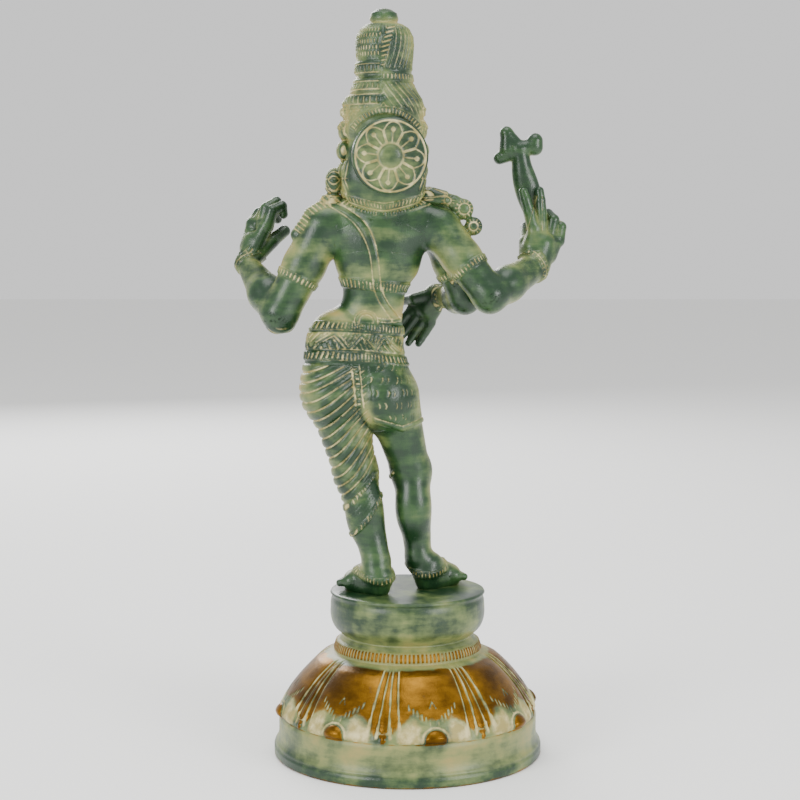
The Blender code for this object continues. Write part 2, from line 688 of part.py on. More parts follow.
def pedestal_outline():
    """Half the pedestal's section, from the middle of its underside up to the middle of its top."""
    band_top = FLANGE_HEIGHT + BAND_HEIGHT
    collar_foot = band_top + DOME_HEIGHT
    slab_foot = collar_foot + COLLAR_HEIGHT
    top = slab_foot + SLAB_HEIGHT
    bulge = SLAB_HEIGHT * 0.55
    waist = COLLAR_RADIUS - GROOVE_DEPTH
    cove = FLANGE_RADIUS - BAND_RADIUS
    outline = [(0.0, 0.0), (FLANGE_RADIUS - 0.6 * EDGE_ROUND, 0.0), (FLANGE_RADIUS, 0.6 * EDGE_ROUND)]
    outline.append((FLANGE_RADIUS, FLANGE_HEIGHT - GROOVE_DEPTH))
    outline.append((FLANGE_RADIUS - 0.8 * GROOVE_DEPTH, FLANGE_HEIGHT - 0.4 * GROOVE_DEPTH))
    outline.append((FLANGE_RADIUS - 0.15 * cove, FLANGE_HEIGHT + 0.2 * GROOVE_DEPTH))
    outline.append((BAND_RADIUS + 0.3 * cove, FLANGE_HEIGHT + 0.15 * BAND_HEIGHT))
    outline.append((BAND_RADIUS, FLANGE_HEIGHT + 0.36 * BAND_HEIGHT))
    outline.append((BAND_RADIUS, band_top - 0.6 * EDGE_ROUND))
    outline += dome_outline()
    outline.append((DOME_TOP_RADIUS - GROOVE_DEPTH, collar_foot + 0.5 * GROOVE_DEPTH))
    outline.append((0.5 * (DOME_TOP_RADIUS + COLLAR_RADIUS), collar_foot + 0.55 * COLLAR_HEIGHT))
    outline.append((COLLAR_RADIUS, slab_foot))
    outline.append((waist, slab_foot + GROOVE_DEPTH))
    outline += arc((waist, slab_foot + bulge), (SLAB_RADIUS - waist, bulge * 0.80), -60, 0, 3)
    outline.append((SLAB_RADIUS - GROOVE_DEPTH, top - 1.6 * EDGE_ROUND))
    outline.append((SLAB_RADIUS, top - 0.8 * EDGE_ROUND))
    outline.append((SLAB_RADIUS - EDGE_ROUND, top))
    outline.append((0.0, top))
    return outline


def turned_mesh(name, outline, segments):
    """A closed solid turned about Z from an outline that starts and ends on the axis."""
    shape = bmesh.new()
    corners = [shape.verts.new((radius, 0.0, height)) for radius, height in outline]
    for low, high in zip(corners, corners[1:]):
        shape.edges.new((low, high))
    bmesh.ops.spin(
        shape,
        geom=shape.verts[:] + shape.edges[:],
        axis=(0, 0, 1),
        cent=(0, 0, 0),
        angle=2.0 * math.pi,
        steps=segments,
        use_merge=True,
    )
    bmesh.ops.remove_doubles(shape, verts=shape.verts, dist=1e-6)
    bmesh.ops.recalc_face_normals(shape, faces=shape.faces)
    mesh = bpy.data.meshes.new(name)
    shape.to_mesh(mesh)
    shape.free()
    return mesh


def petal_relief(bearing, climb):
    """Height of the lotus carving: bearing in radians, climb from 0 at the dome's foot to 1."""
    pitch = 2.0 * math.pi / PETALS
    across = np.abs(np.mod(bearing - FIRST_PETAL + 0.5 * pitch, pitch) / (0.5 * pitch) - 1.0)
    narrow = np.clip((0.75 - climb) / 0.40, 0.0, 1.0)
    half = 1.0 - 0.25 * narrow
    petal = np.clip(1.0 - (across / half) ** 2, 0.0, 1.0)
    sepal = narrow * np.clip(1.0 - ((1.0 - across) / 0.25) ** 2, 0.0, 1.0)
    tip = np.exp(-((across / 0.24) ** 2) - ((climb - 0.16) / 0.12) ** 2)
    fade = np.clip((1.0 - climb) / 0.25, 0.0, 1.0) * np.clip(climb / 0.06, 0.0, 1.0)
    return (petal + 0.6 * sepal + 0.5 * tip) * fade


def make_pedestal(collection):
    """The turned pedestal with its ring of lotus petals."""
    mesh = turned_mesh("pedestal", pedestal_outline(), TURNED_SEGMENTS)
    mesh.transform(Matrix.Rotation(FIRST_PETAL, 4, "Z"))
    points, normals = vertex_arrays(mesh)
    foot = FLANGE_HEIGHT + BAND_HEIGHT
    climb = (points[:, 2] - foot) / DOME_HEIGHT
    bearing = np.arctan2(-points[:, 0], points[:, 1])
    on_dome = (climb > 0.0) & (climb < 1.0)
    relief = PETAL_RELIEF * petal_relief(bearing, climb) * on_dome
    move_vertices(mesh, points + relief[:, None] * normals)
    return new_object("pedestal", mesh, collection)


def wheel_relief(reach, bearing):
    """Height of the rosette on the wheel: reach from 0 at the middle to 1 at the rim."""
    pitch = 2.0 * math.pi / WHEEL_PETALS
    across = (np.mod(bearing, pitch) - 0.5 * pitch) * reach * 1.15
    rim = plateau(reach - 0.94, 0.07, 0.03)
    half = 0.30 * np.sqrt(np.clip(1.0 - ((reach - 0.62) / 0.32) ** 2, 0, 1))
    outline = ridge(np.abs(across) - half, 0.07)
    stamen = ridge(across, 0.06) * (reach > 0.3) * (reach < 0.72)
    boss = np.sqrt(np.clip(1.0 - (reach / 0.30) ** 2, 0.0, 1.0))
    return rim + 0.8 * outline * (reach > 0.30) * (reach < 0.93) + 0.7 * stamen + 1.3 * boss


def make_wheel(collection):
    """The round wheel behind the head, with a rosette on its outer face."""
    rings = (0.16, 0.29, 0.42, 0.56, 0.70, 0.82, 0.90)
    outline = [(0.0, -WHEEL_THICKNESS), (0.98 * WHEEL_RADIUS, -WHEEL_THICKNESS)]
    outline += [(WHEEL_RADIUS, -0.8 * WHEEL_THICKNESS), (WHEEL_RADIUS, 0.0)]
    outline += [(WHEEL_RADIUS * ring, 0.0) for ring in reversed(rings)]
    outline.append((0.0, 0.0))
    mesh = turned_mesh("wheel", outline, WHEEL_SEGMENTS)
    points, _ = vertex_arrays(mesh)
    reach = np.hypot(points[:, 0], points[:, 1]) / WHEEL_RADIUS
    bearing = np.arctan2(points[:, 0], points[:, 1])
    points[:, 2] += WHEEL_RELIEF * wheel_relief(reach, bearing) * (points[:, 2] > -1e-6)
    move_vertices(mesh, points)
    turn = Vector((0, 0, 1)).rotation_difference(Vector(WHEEL_NORMAL)).to_matrix().to_4x4()
    centre = Vector(WHEEL_CENTRE) * SHARE + Vector((0, 0, PEDESTAL_HEIGHT))
    mesh.transform(Matrix.Translation(centre) @ turn)
    return new_object("wheel", mesh, collection)


def patina_material():
    """Green patina over brass."""
    material = bpy.data.materials.new("green patina on brass")
    material.use_nodes = True
    shader = material.node_tree.nodes["Principled BSDF"]
    shader.inputs["Base Color"].default_value = (0.055, 0.13, 0.075, 1.0)
    shader.inputs["Roughness"].default_value = 0.45
    shader.inputs["Metallic"].default_value = 0.55
    return material


def join_casting(body, others):
    """Unite the pieces of the casting into one closed body."""
    for other in others:
        union = body.modifiers.new("Cast with " + other.name, "BOOLEAN")
        union.operation = "UNION"
        union.object = other
    apply_modifiers(body)
    for other in others:
        bpy.data.objects.remove(other)
    shape = bmesh.new()
    shape.from_mesh(body.data)
    bmesh.ops.triangulate(shape, faces=shape.faces)
    bmesh.ops.remove_doubles(shape, verts=shape.verts, dist=MERGE_DISTANCE)
    bmesh.ops.dissolve_degenerate(shape, edges=shape.edges, dist=0.5 * MERGE_DISTANCE)
    remove_slivers(shape)
    bmesh.ops.triangulate(shape, faces=shape.faces)
    shape.to_mesh(body.data)
    shape.free()


def remove_slivers(shape, smallest=24):
    """Delete loose bits and folded flaps of fewer faces than the smallest body could have."""
    unseen = set(shape.faces)
    slivers = []
    while unseen:
        bit = [unseen.pop()]
        for face in bit:
            plain = [edge for edge in face.edges if len(edge.link_faces) == 2]
            beside = {other for edge in plain for other in edge.link_faces} & unseen
            unseen -= beside
            bit += beside
        if len(bit) < smallest:
            slivers += bit
    bmesh.ops.delete(shape, geom=slivers, context="FACES")


def main():
    """Clear the scene and model the statue."""
    for thing in list(bpy.data.objects):
        bpy.data.objects.remove(thing)
    collection = bpy.data.collections.new("ardhanarishvara statue")
    bpy.context.scene.collection.children.link(collection)
    statue = make_pedestal(collection)
    statue.name = "statue"
    join_casting(statue, [make_figure(collection), make_wheel(collection)])
    statue.data.name = "statue"
    statue.data.materials.append(patina_material())
    statue.data.shade_smooth()
    statue.data.set_sharp_from_angle(angle=math.radians(35))


main()
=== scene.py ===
"""Looks of a brass statue of a half man, half woman deity, on a round lotus pedestal.

The figure is made in a few finely meshed pieces. Each starts as a rough union of limbs, is remeshed,
drawn onto one smooth surface around those limbs, and is carved along its normals. The pedestal and the
wheel behind the head are turned, and then carved in the same way. Lengths are in millimetres while a
piece is made, with z from the top of the slab for the figure, and become metres at the end.
"""

from __future__ import annotations

import logging
import math
from dataclasses import dataclass
from enum import Enum
from typing import Any, Callable, Iterable, Sequence

import bmesh
import bpy
import numpy as np
from mathutils import Matrix, Vector


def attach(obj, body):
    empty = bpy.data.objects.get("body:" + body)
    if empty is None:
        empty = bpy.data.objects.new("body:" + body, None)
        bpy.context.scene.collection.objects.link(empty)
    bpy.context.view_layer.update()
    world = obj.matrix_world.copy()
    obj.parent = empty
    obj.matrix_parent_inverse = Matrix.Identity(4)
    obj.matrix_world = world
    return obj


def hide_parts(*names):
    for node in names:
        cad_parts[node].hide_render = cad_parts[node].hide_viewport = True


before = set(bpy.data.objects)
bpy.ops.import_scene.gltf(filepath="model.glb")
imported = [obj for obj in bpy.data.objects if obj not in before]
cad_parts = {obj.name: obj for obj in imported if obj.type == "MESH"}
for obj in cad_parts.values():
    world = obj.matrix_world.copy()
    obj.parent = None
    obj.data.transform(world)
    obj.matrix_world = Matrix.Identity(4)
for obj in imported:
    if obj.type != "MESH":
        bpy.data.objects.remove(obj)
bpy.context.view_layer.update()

MILLIMETRE = 0.001
PEDESTAL_HEIGHT = 100.5  # mm, from the floor to the top of the slab
TO_METRES = Matrix.Scale(MILLIMETRE, 4)

Triple = tuple[float, float, float]
Array = np.ndarray

logging.basicConfig(level=logging.INFO, format="%(message)s")
LOG = logging.getLogger("statue")

# Places on the figure that several ornaments share, in mm from the middle of the slab's top
HEAD_X = 14.0
CROWN_Y = 1.0
CURL_FOOT = 243.0  # middle of the lowest side curl
CURL_PITCH = 11.5
ARCH_X = 12.5  # middle of the band that arches over the wheel
ARCH_Z = 264.5
ARCH_RADIUS = 24.0
BELT_MIDDLE = 151.0
GARMENT_TOP = 139.5
TRUNK_FOOT = 150.0  # the trunk's mesh ends here, inside the belt
LEGS_TOP = 151.2  # the legs' mesh ends here, a little inside the trunk

ARMLET_PLACE = 0.60  # as a share of the upper arm
MOST_TRIANGLES = 176000  # that one piece of the figure keeps
SMEAR_PASSES = 90  # neighbour averages that carry the wash a few mm out from the chasing
# neighbour averages that soften the painted sheen on the flanks, which the camera sees edge-on
FLANK_SHEEN_PASSES = 12


@dataclass(frozen=True)
class Chain:
    """The joints of an arm or a leg, from the trunk outwards, in mm."""

    root: Triple
    bend: Triple
    end: Triple


ARMS = {
    "left": Chain((50.4, 0, 221), (76.8, 3, 168.8), (100.4, -33, 199)),
    "right": Chain((-19.3, 2, 220), (-49.2, 11, 179.8), (-79, -19, 197)),
    "front": Chain((-19, -9, 216), (-35, -9, 177.3), (-25, -44, 178)),
}
LEGS = {
    "left": Chain((42.5, 4, 119), (31, 4, 72), (18.8, 14, 20)),
    "right": Chain((10, 3, 118), (-2.2, -5, 72), (-6.8, -2, 19)),
}


def unit(vector: Sequence[float]) -> Array:
    """Return the vector at length one."""
    return np.asarray(vector, float) / np.linalg.norm(vector)


def ridge(offset: Array, half_width: float) -> Array:
    """Return a rounded ridge: 1 on the line, 0 beyond the half width."""
    return np.clip(1.0 - (offset / half_width) ** 2, 0.0, 1.0)


def plateau(offset: Array, half_width: float, edge: float) -> Array:
    """Return a flat band with soft edges: 1 inside, 0 beyond the half width."""
    return np.clip((half_width - np.abs(offset)) / edge, 0.0, 1.0)


def ramp(value: Array, start: float, end: float) -> Array:
    """Return 0 before start, 1 after end, and a straight climb between them."""
    return np.clip((value - start) / (end - start), 0.0, 1.0)


def ticks(along: Array, pitch: float, share: float = 0.45) -> Array:
    """Return evenly spaced chased strokes: 1 in a stroke, 0 between strokes.

    Args:
        along: Distance along the row of strokes, in mm.
        pitch: Distance from one stroke to the next, in mm.
        share: Part of the pitch that a stroke takes.

    Returns:
        The strength of the stroke at each place.
    """
    phase = np.abs(np.mod(along / pitch, 1.0) - 0.5) * 2.0
    return np.clip((phase - (1.0 - share)) / (0.4 * share), 0.0, 1.0)


class Mass:
    """A simple solid that a limb or ornament is drawn around."""

    def distance(self, points: Array) -> Array:
        """Return the distance from each point to the skin, negative inside."""
        raise NotImplementedError

    def add_rough(self, shape: bmesh.types.BMesh) -> None:
        """Add the solid to a mesh, coarsely."""
        raise NotImplementedError

    def box(self) -> tuple[Array, Array]:
        """Return the lowest and the highest corner."""
        raise NotImplementedError


@dataclass
class Bone(Mass):
    """A limb between two points, with a radius at each end."""

    start: Sequence[float]
    end: Sequence[float]
    start_radius: float
    end_radius: float

    def distance(self, points: Array) -> Array:
        """Return the distance from each point to the skin, negative inside.

        Args:
            points: Places in mm, one a row.

        Returns:
            The distance from each point to the skin, negative inside.
        """
        start = np.asarray(self.start, float)
        axis = np.asarray(self.end, float) - start
        share = np.clip((points - start) @ axis / (axis @ axis), 0.0, 1.0)
        radius = self.start_radius + share * (self.end_radius - self.start_radius)
        return np.linalg.norm(points - start - share[:, None] * axis, axis=1) - radius

    def add_rough(self, shape: bmesh.types.BMesh) -> None:
        """Add the limb as the hull of its two end balls.

        Args:
            shape: The mesh that it is added to.
        """
        corners: list[bmesh.types.BMVert] = []
        for centre, radius in ((self.start, self.start_radius), (self.end, self.end_radius)):
            place = Matrix.Translation(Vector(centre))
            ball = bmesh.ops.create_uvsphere(shape, u_segments=14, v_segments=8, radius=radius, matrix=place)
            corners += ball["verts"]
        edges = list({edge for corner in corners for edge in corner.link_edges})
        bmesh.ops.delete(shape, geom=edges, context="EDGES_FACES")
        hull = bmesh.ops.convex_hull(shape, input=corners)
        inside = set(hull["geom_interior"]) | set(hull["geom_unused"])
        bmesh.ops.delete(shape, geom=[corner for corner in corners if corner in inside], context="VERTS")

    def box(self) -> tuple[Array, Array]:
        """Return the lowest and the highest corner."""
        reach = max(self.start_radius, self.end_radius)
        ends = np.array([self.start, self.end], float)
        return ends.min(0) - reach, ends.max(0) + reach


@dataclass
class Ball(Mass):
    """An egg-shaped mass with three radii, turned about Z, Y and X in degrees."""

    centre: Sequence[float]
    radii: Sequence[float]
    turn: Triple = (0.0, 0.0, 0.0)

    def frame(self) -> Matrix:
        """Return the turn as a matrix."""
        turned = Matrix.Rotation(math.radians(self.turn[0]), 3, "Z")
        turned = turned @ Matrix.Rotation(math.radians(self.turn[1]), 3, "Y")
        return turned @ Matrix.Rotation(math.radians(self.turn[2]), 3, "X")

    def distance(self, points: Array) -> Array:
        """Return the distance to the skin, near enough close to it, negative inside.

        Args:
            points: Places in mm, one a row.

        Returns:
            The distance to the skin, near enough close to it, negative inside.
        """
        radii = np.asarray(self.radii, float)
        local = (points - np.asarray(self.centre, float)) @ np.array(self.frame())
        outward = np.linalg.norm(local / radii, axis=1)
        slope = np.linalg.norm(local / radii**2, axis=1)
        return outward * (outward - 1.0) / np.maximum(slope, 1e-9)

    def add_rough(self, shape: bmesh.types.BMesh) -> None:
        """Add the mass as a stretched ball.

        Args:
            shape: The mesh that it is added to.
        """
        place = Matrix.Translation(Vector(self.centre)) @ self.frame().to_4x4()
        place = place @ Matrix.Diagonal((*self.radii, 1.0))
        bmesh.ops.create_uvsphere(shape, u_segments=20, v_segments=12, radius=1.0, matrix=place)

    def box(self) -> tuple[Array, Array]:
        """Return the lowest and the highest corner."""
        centre = np.asarray(self.centre, float)
        return centre - max(self.radii), centre + max(self.radii)


@dataclass
class Spun(Mass):
    """A mass turned about an upright axis, with a radius at each of several heights."""

    axis: tuple[float, float]
    heights: Sequence[float]
    radii: Sequence[float]

    def distance(self, points: Array) -> Array:
        """Return the distance sideways or upward to the skin, negative inside.

        Args:
            points: Places in mm, one a row.

        Returns:
            The distance sideways or upward to the skin, negative inside.
        """
        reach = np.hypot(points[:, 0] - self.axis[0], points[:, 1] - self.axis[1])
        sideways = reach - np.interp(points[:, 2], self.heights, self.radii)
        beyond = np.maximum(self.heights[0] - points[:, 2], points[:, 2] - self.heights[-1])
        return np.maximum(sideways * 0.9, beyond)

    def add_rough(self, shape: bmesh.types.BMesh) -> None:
        """Add the mass as a stack of short cones.

        Args:
            shape: The mesh that it is added to.
        """
        steps = zip(zip(self.heights, self.radii), zip(self.heights[1:], self.radii[1:]))
        for (low, low_radius), (high, high_radius) in steps:
            bmesh.ops.create_cone(
                shape,
                cap_ends=True,
                segments=48,
                radius1=low_radius,
                radius2=high_radius,
                depth=high - low,
                matrix=Matrix.Translation((*self.axis, 0.5 * (low + high))),
            )

    def box(self) -> tuple[Array, Array]:
        """Return the lowest and the highest corner."""
        middle = np.array([*self.axis, 0.5 * (self.heights[0] + self.heights[-1])])
        half = np.array([max(self.radii), max(self.radii), 0.5 * (self.heights[-1] - self.heights[0])])
        return middle - half, middle + half


class Limb:
    """A place and directions to build a hand or foot on."""

    def __init__(
        self, root: Sequence[float], along: Sequence[float], back: Sequence[float], size: float
    ) -> None:
        """Set the limb's frame.

        Args:
            root: The wrist or heel.
            along: Direction from the root to the middle finger or toe.
            back: Direction of the back of the hand or the top of the foot.
            size: Length of the hand or foot, in mm.
        """
        self.root = np.asarray(root, float)
        self.along = unit(along)
        self.side = unit(np.cross(along, back))
        self.back = np.cross(self.side, self.along)
        self.size = size

    def at(self, forward: float, across: float, up: float) -> Array:
        """Return a point, in shares of the hand's or foot's length."""
        step = forward * self.along + across * self.side + up * self.back
        return self.root + self.size * step

    def heading(self, curl: float, spread: float) -> Array:
        """Return the direction of a finger bone that curls and spreads, in degrees.

        Args:
            curl: How far it curls, in degrees.
            spread: How far it fans out, in degrees.

        Returns:
            The direction of a finger bone that curls and spreads, in degrees.
        """
        bent, fanned = math.radians(curl), math.radians(spread)
        forward = math.cos(bent) * self.along - math.sin(bent) * self.back
        return math.cos(fanned) * forward + math.sin(fanned) * self.side


def finger(
    hand: Limb, base: Triple, length: float, curls: Sequence[float], spread: float, radius: float
) -> list[Mass]:
    """Return the bones of one finger, from its base out to its tip.

    Args:
        hand: The hand that it grows from.
        base: Where it starts, in shares of the hand.
        length: Its length, in shares of the hand.
        curls: How far each of its three bones curls to the palm, in degrees.
        spread: How far it fans out sideways, in degrees.
        radius: Its radius at the base, in mm.

    Returns:
        The three bones.
    """
    bones: list[Mass] = []
    start = hand.at(*base)
    for number, (part, curl) in enumerate(zip((0.44, 0.33, 0.23), curls)):
        end = start + hand.size * length * part * hand.heading(curl, spread)
        thin = 1.0 - 0.1 * number
        bones.append(Bone(start, end, radius * thin, radius * (thin - 0.1)))
        start = end
    return bones


def hand_masses(
    hand: Limb,
    finger_curls: Sequence[Triple],
    finger_spreads: Sequence[float],
    thumb_side: int,
    thumb_bends: tuple[Triple, Triple],
    build: Triple,
) -> tuple[list[Mass], list[Mass]]:
    """Return a palm, and its four fingers and thumb.

    Args:
        hand: The hand's frame.
        finger_curls: Curls of the three bones of each finger, in degrees.
        finger_spreads: How far each finger fans out, in degrees.
        thumb_side: 1 or -1, for the side that the thumb is on.
        thumb_bends: The thumb's joint and its end, in shares of the hand.
        build: Wrist, width and reach of the knuckles, in shares.

    Returns:
        The masses of the palm, and those of the fingers.
    """
    wrist, width, knuckles = build
    size = hand.size
    palm: list[Mass] = [Bone(hand.root, hand.at(0.30, 0.0, 0.0), wrist * size, 0.19 * width * size)]
    for side in (-1, 1):
        heel = hand.at(0.22, 0.13 * side * width, 0.0)
        rise = hand.at(knuckles, 0.17 * side * width, 0.0)
        palm.append(Bone(heel, rise, 0.13 * width * size, 0.10 * size))
    fingers: list[Mass] = []
    lengths = (0.50, 0.55, 0.51, 0.42)
    for number, (curls, spread) in enumerate(zip(finger_curls, finger_spreads)):
        base = (knuckles, thumb_side * width * (0.21 - 0.14 * number), 0.0)
        fingers += finger(hand, base, lengths[number], curls, spread, 0.088 * size)
    joint, tip = (hand.at(*bend) for bend in thumb_bends)
    root = hand.at(0.10, thumb_side * 0.12, -0.05)
    fingers.append(Bone(root, joint, 0.12 * width * size, 0.10 * size))
    fingers.append(Bone(joint, tip, 0.095 * size, 0.08 * size))
    return palm, fingers


def foot_masses(
    ankle: Triple, heel: Triple, toward: Triple, big_toe_side: int
) -> tuple[list[Mass], list[Mass]]:
    """Return a foot's body and its five toes, flat on the slab.

    Args:
        ankle: The ankle joint.
        heel: The heel.
        toward: Direction that the foot points in.
        big_toe_side: 1 when the big toe lies to the foot's own left, else -1.

    Returns:
        The masses of the body, and those of the toes.
    """
    foot = Limb(heel, toward, (0, 0, 1), 36.0)
    body: list[Mass] = [
        Ball(foot.at(0.04, 0.0, 0.17), (8.2, 8.2, 7.2)),
        Bone(ankle, foot.at(0.12, 0.0, 0.28), 8.0, 8.6),
        Bone(foot.at(0.14, 0.0, 0.26), foot.at(0.62, 0.0, 0.09), 7.8, 5.6),
        Bone(foot.at(0.58, 0.13, 0.06), foot.at(0.58, -0.13, 0.06), 5.0, 4.8),
        Bone(foot.at(0.06, 0.0, 0.0), foot.at(0.60, 0.0, 0.0), 6.4, 6.6),
    ]
    toes: list[Mass] = []
    for number in range(5):
        across = big_toe_side * (0.19 - 0.095 * number)
        reach = 0.93 - 0.045 * number
        radius = 3.3 if number == 0 else 2.5
        start = foot.at(0.66, across, 0.05)
        toes.append(Bone(start, foot.at(reach, across * 1.15, 0.03), radius, radius * 0.9))
    return body, toes


def arch(
    middle: Triple, reach: float, rise: float, depth: float, radii: tuple[float, float], steps: int = 6
) -> list[Mass]:
    """Return a row of short bones along a bow.

    Args:
        middle: The bow's middle.
        reach: Half its width.
        rise: How far its ends lie above its middle.
        depth: How far its ends lie behind its middle.
        radii: Radius in the middle and at the ends.
        steps: Number of bones.

    Returns:
        The bones.
    """
    bones: list[Mass] = []
    last: tuple[Array, float] | None = None
    for step in range(steps + 1):
        share = 2.0 * step / steps - 1.0
        point = np.add(middle, (share * reach, depth * share**2, rise * share**2))
        radius = radii[0] + (radii[1] - radii[0]) * abs(share)
        if last is not None:
            bones.append(Bone(last[0], point, last[1], radius))
        last = (point, radius)
    return bones


def leg_masses(leg: Chain, widths: Triple, calf: Ball) -> list[Mass]:
    """Return the thigh, shin, calf and knee of a leg.

    Args:
        leg: The leg's joints.
        widths: Its radii at hip, knee and ankle, in mm.
        calf: The swell of its calf.

    Returns:
        The leg's masses.
    """
    thigh, joint, shin = widths
    cap = Ball(np.add(leg.bend, (0, -3, 1)), (joint * 0.9, joint * 0.9, joint))
    return [Bone(leg.root, leg.bend, thigh, joint), Bone(leg.bend, leg.end, joint, shin), calf, cap]


def arm_masses(arm: Chain, widths: tuple[float, float, float, float]) -> list[Mass]:
    """Return the upper arm and the forearm, each in two parts so that it swells.

    Args:
        arm: The arm's joints.
        widths: Its radii at shoulder, middle, elbow and wrist, in mm.

    Returns:
        The arm's masses.
    """
    top, upper, joint, lower = widths
    middle = np.add(np.multiply(0.55, arm.root), np.multiply(0.45, arm.bend))
    belly = np.add(np.multiply(0.62, arm.bend), np.multiply(0.38, arm.end))
    return [
        Bone(arm.root, middle, top, upper),
        Bone(middle, arm.bend, upper, joint),
        Bone(arm.bend, belly, joint, joint * 1.04),
        Bone(belly, arm.end, joint * 1.04, lower),
    ]


@dataclass
class Group:
    """Masses that flow into each other, and into what comes before them, each over a blend in mm."""

    inner_blend: float
    outer_blend: float
    masses: list[Mass]


class Figure:
    """All the masses of the standing figure, by group."""

    def __init__(self) -> None:
        """Make every group."""
        left_calf = Ball((26.2, 12.5, 50), (10.8, 9.5, 19))
        right_calf = Ball((-3.4, 2.5, 50), (10.6, 9.0, 18))
        self.groups: dict[str, Group] = {
            "torso": Group(9.0, 0.0, self.torso()),
            "chest": Group(3.0, 4.0, self.chest()),
            "left leg": Group(5.0, 6.0, leg_masses(LEGS["left"], (17.6, 12.4, 8.4), left_calf)),
            "right leg": Group(5.0, 6.0, leg_masses(LEGS["right"], (16.2, 11.6, 7.8), right_calf)),
            "left arm": Group(4.0, 5.0, arm_masses(ARMS["left"], (13.4, 12.4, 10.8, 6.2))),
            "right arm": Group(4.0, 5.0, arm_masses(ARMS["right"], (12.8, 11.4, 10.2, 8.2))),
            "front arm": Group(4.0, 4.0, arm_masses(ARMS["front"], (11.0, 10.2, 9.0, 7.0))),
            "head": Group(5.0, 4.0, self.head()),
            "face": Group(1.2, 1.6, self.face()),
            "crown": Group(0.0, 1.5, self.crown()),
            "curls": Group(1.6, 1.2, self.curls()),
            "locks": Group(2.0, 1.5, self.locks()),
            "cloth": Group(2.0, 1.5, self.cloth_ends()),
            "axe": Group(1.5, 1.0, self.axe()),
        }
        hands = {"left": self.left_hand(), "right": self.right_hand(), "front": self.front_hand()}
        for side, (palm, fingers) in hands.items():
            self.groups[f"{side} palm"] = Group(3.0, 3.0, palm)
            self.groups[f"{side} fingers"] = Group(0.6, 1.4, fingers)
        left_foot = foot_masses(LEGS["left"].end, (15.2, 18, 4), (0.78, -0.62, 0), 1)
        right_foot = foot_masses(LEGS["right"].end, (-9.6, 0, 4), (-0.755, -0.656, 0), -1)
        for side, (body, toes) in (("left", left_foot), ("right", right_foot)):
            self.groups[f"{side} foot"] = Group(3.0, 3.0, body)
            self.groups[f"{side} toes"] = Group(0.5, 1.2, toes)

    @staticmethod
    def left_hand() -> tuple[list[Mass], list[Mass]]:
        """Return the woman's hand, its fingertips together as if around a flower stem."""
        hand = Limb(ARMS["left"].end, (-0.34, -0.16, 0.93), (0.70, 0.68, 0.10), 46.0)
        curls = ((-8, 44, 145), (-10, 40, 140), (10, 84, 110), (20, 90, 115))
        thumb = ((0.40, 0.14, -0.18), (0.60, 0.12, -0.34))
        return hand_masses(hand, curls, (6, 2, -3, -8), 1, thumb, (0.13, 0.75, 0.54))

    @staticmethod
    def right_hand() -> tuple[list[Mass], list[Mass]]:
        """Return the man's rear hand, two fingers upright against the axe and two folded."""
        root = np.add(ARMS["right"].end, (1.2, 0, 0))
        hand = Limb(root, (-0.34, -0.22, 0.90), (-0.45, 0.88, 0.10), 46.0)
        curls = ((-4, 2, 6), (-4, 2, 6), (-6, 60, 150), (-4, 70, 155))
        thumb = ((0.28, -0.16, -0.14), (0.52, -0.14, -0.34))
        return hand_masses(hand, curls, (-40, -26, -12, -14), -1, thumb, (0.19, 1.0, 0.46))

    @staticmethod
    def front_hand() -> tuple[list[Mass], list[Mass]]:
        """Return the man's front hand, hanging open with its palm toward the hip."""
        root = np.add(ARMS["front"].end, (7.5, -2, 0.4))
        hand = Limb(root, (0.55, -0.05, -0.83), (0.0, -1.0, 0.06), 36.0)
        curls = ((4, 12, 20), (2, 10, 18), (2, 10, 18), (4, 12, 20))
        thumb = ((0.26, -0.28, -0.10), (0.40, -0.40, 0.10))
        return hand_masses(hand, curls, (-6, -3, 0, 2), -1, thumb, (0.20, 1.0, 0.46))

    @staticmethod
    def torso() -> list[Mass]:
        """Return pelvis, waist, ribs, chest and the slopes from neck to shoulders."""
        return [
            Ball((43.5, 5, 125), (20.4, 19, 23)),
            Ball((13.5, 4, 120), (17.2, 18, 22)),
            Ball((45.5, 13, 121), (15, 14, 16)),
            Ball((16, 12, 117), (14, 13, 16)),
            Ball((31, 1, 141), (29, 18, 16)),
            Ball((40, 0, 153), (20.5, 15, 19)),
            Ball((24, -4, 156), (21, 15, 16)),
            Ball((20.5, -1, 177), (18.4, 14.5, 22)),
            Ball((18, 0, 199), (25.5, 16.5, 18)),
            Ball((16.5, 1, 214), (31, 16, 15)),
            Bone((16, 2, 226), (44, 1, 224), 11, 10),
            Bone((16, 2, 226), (-12, 2, 223), 11, 10),
            Bone((14, 3, 238), (33, 1, 229), 9, 8),
            Bone((14, 3, 238), (-5, 2, 228), 9, 8),
        ]

    @staticmethod
    def chest() -> list[Mass]:
        """Return the woman's breast on the left and the man's flat chest on the right."""
        return [Ball((31, -14, 206), (11.5, 12.5, 11.5)), Ball((3, -11, 212), (14, 8, 10))]

    @staticmethod
    def head() -> list[Mass]:
        """Return skull, face, jaw and neck, with the hair that hides the nape."""
        return [
            Ball((HEAD_X, 2, 267), (22.0, 20, 21)),
            Ball((HEAD_X, -8.5, 261.5), (17, 15.5, 19.5)),
            Ball((HEAD_X, -15.0, 248.0), (8.0, 7.0, 6.0)),
            Bone((HEAD_X, 0, 226), (HEAD_X, -2, 250), 12.0, 12.0),
            Ball((HEAD_X, 9, 250), (25.5, 13, 24)),
        ]

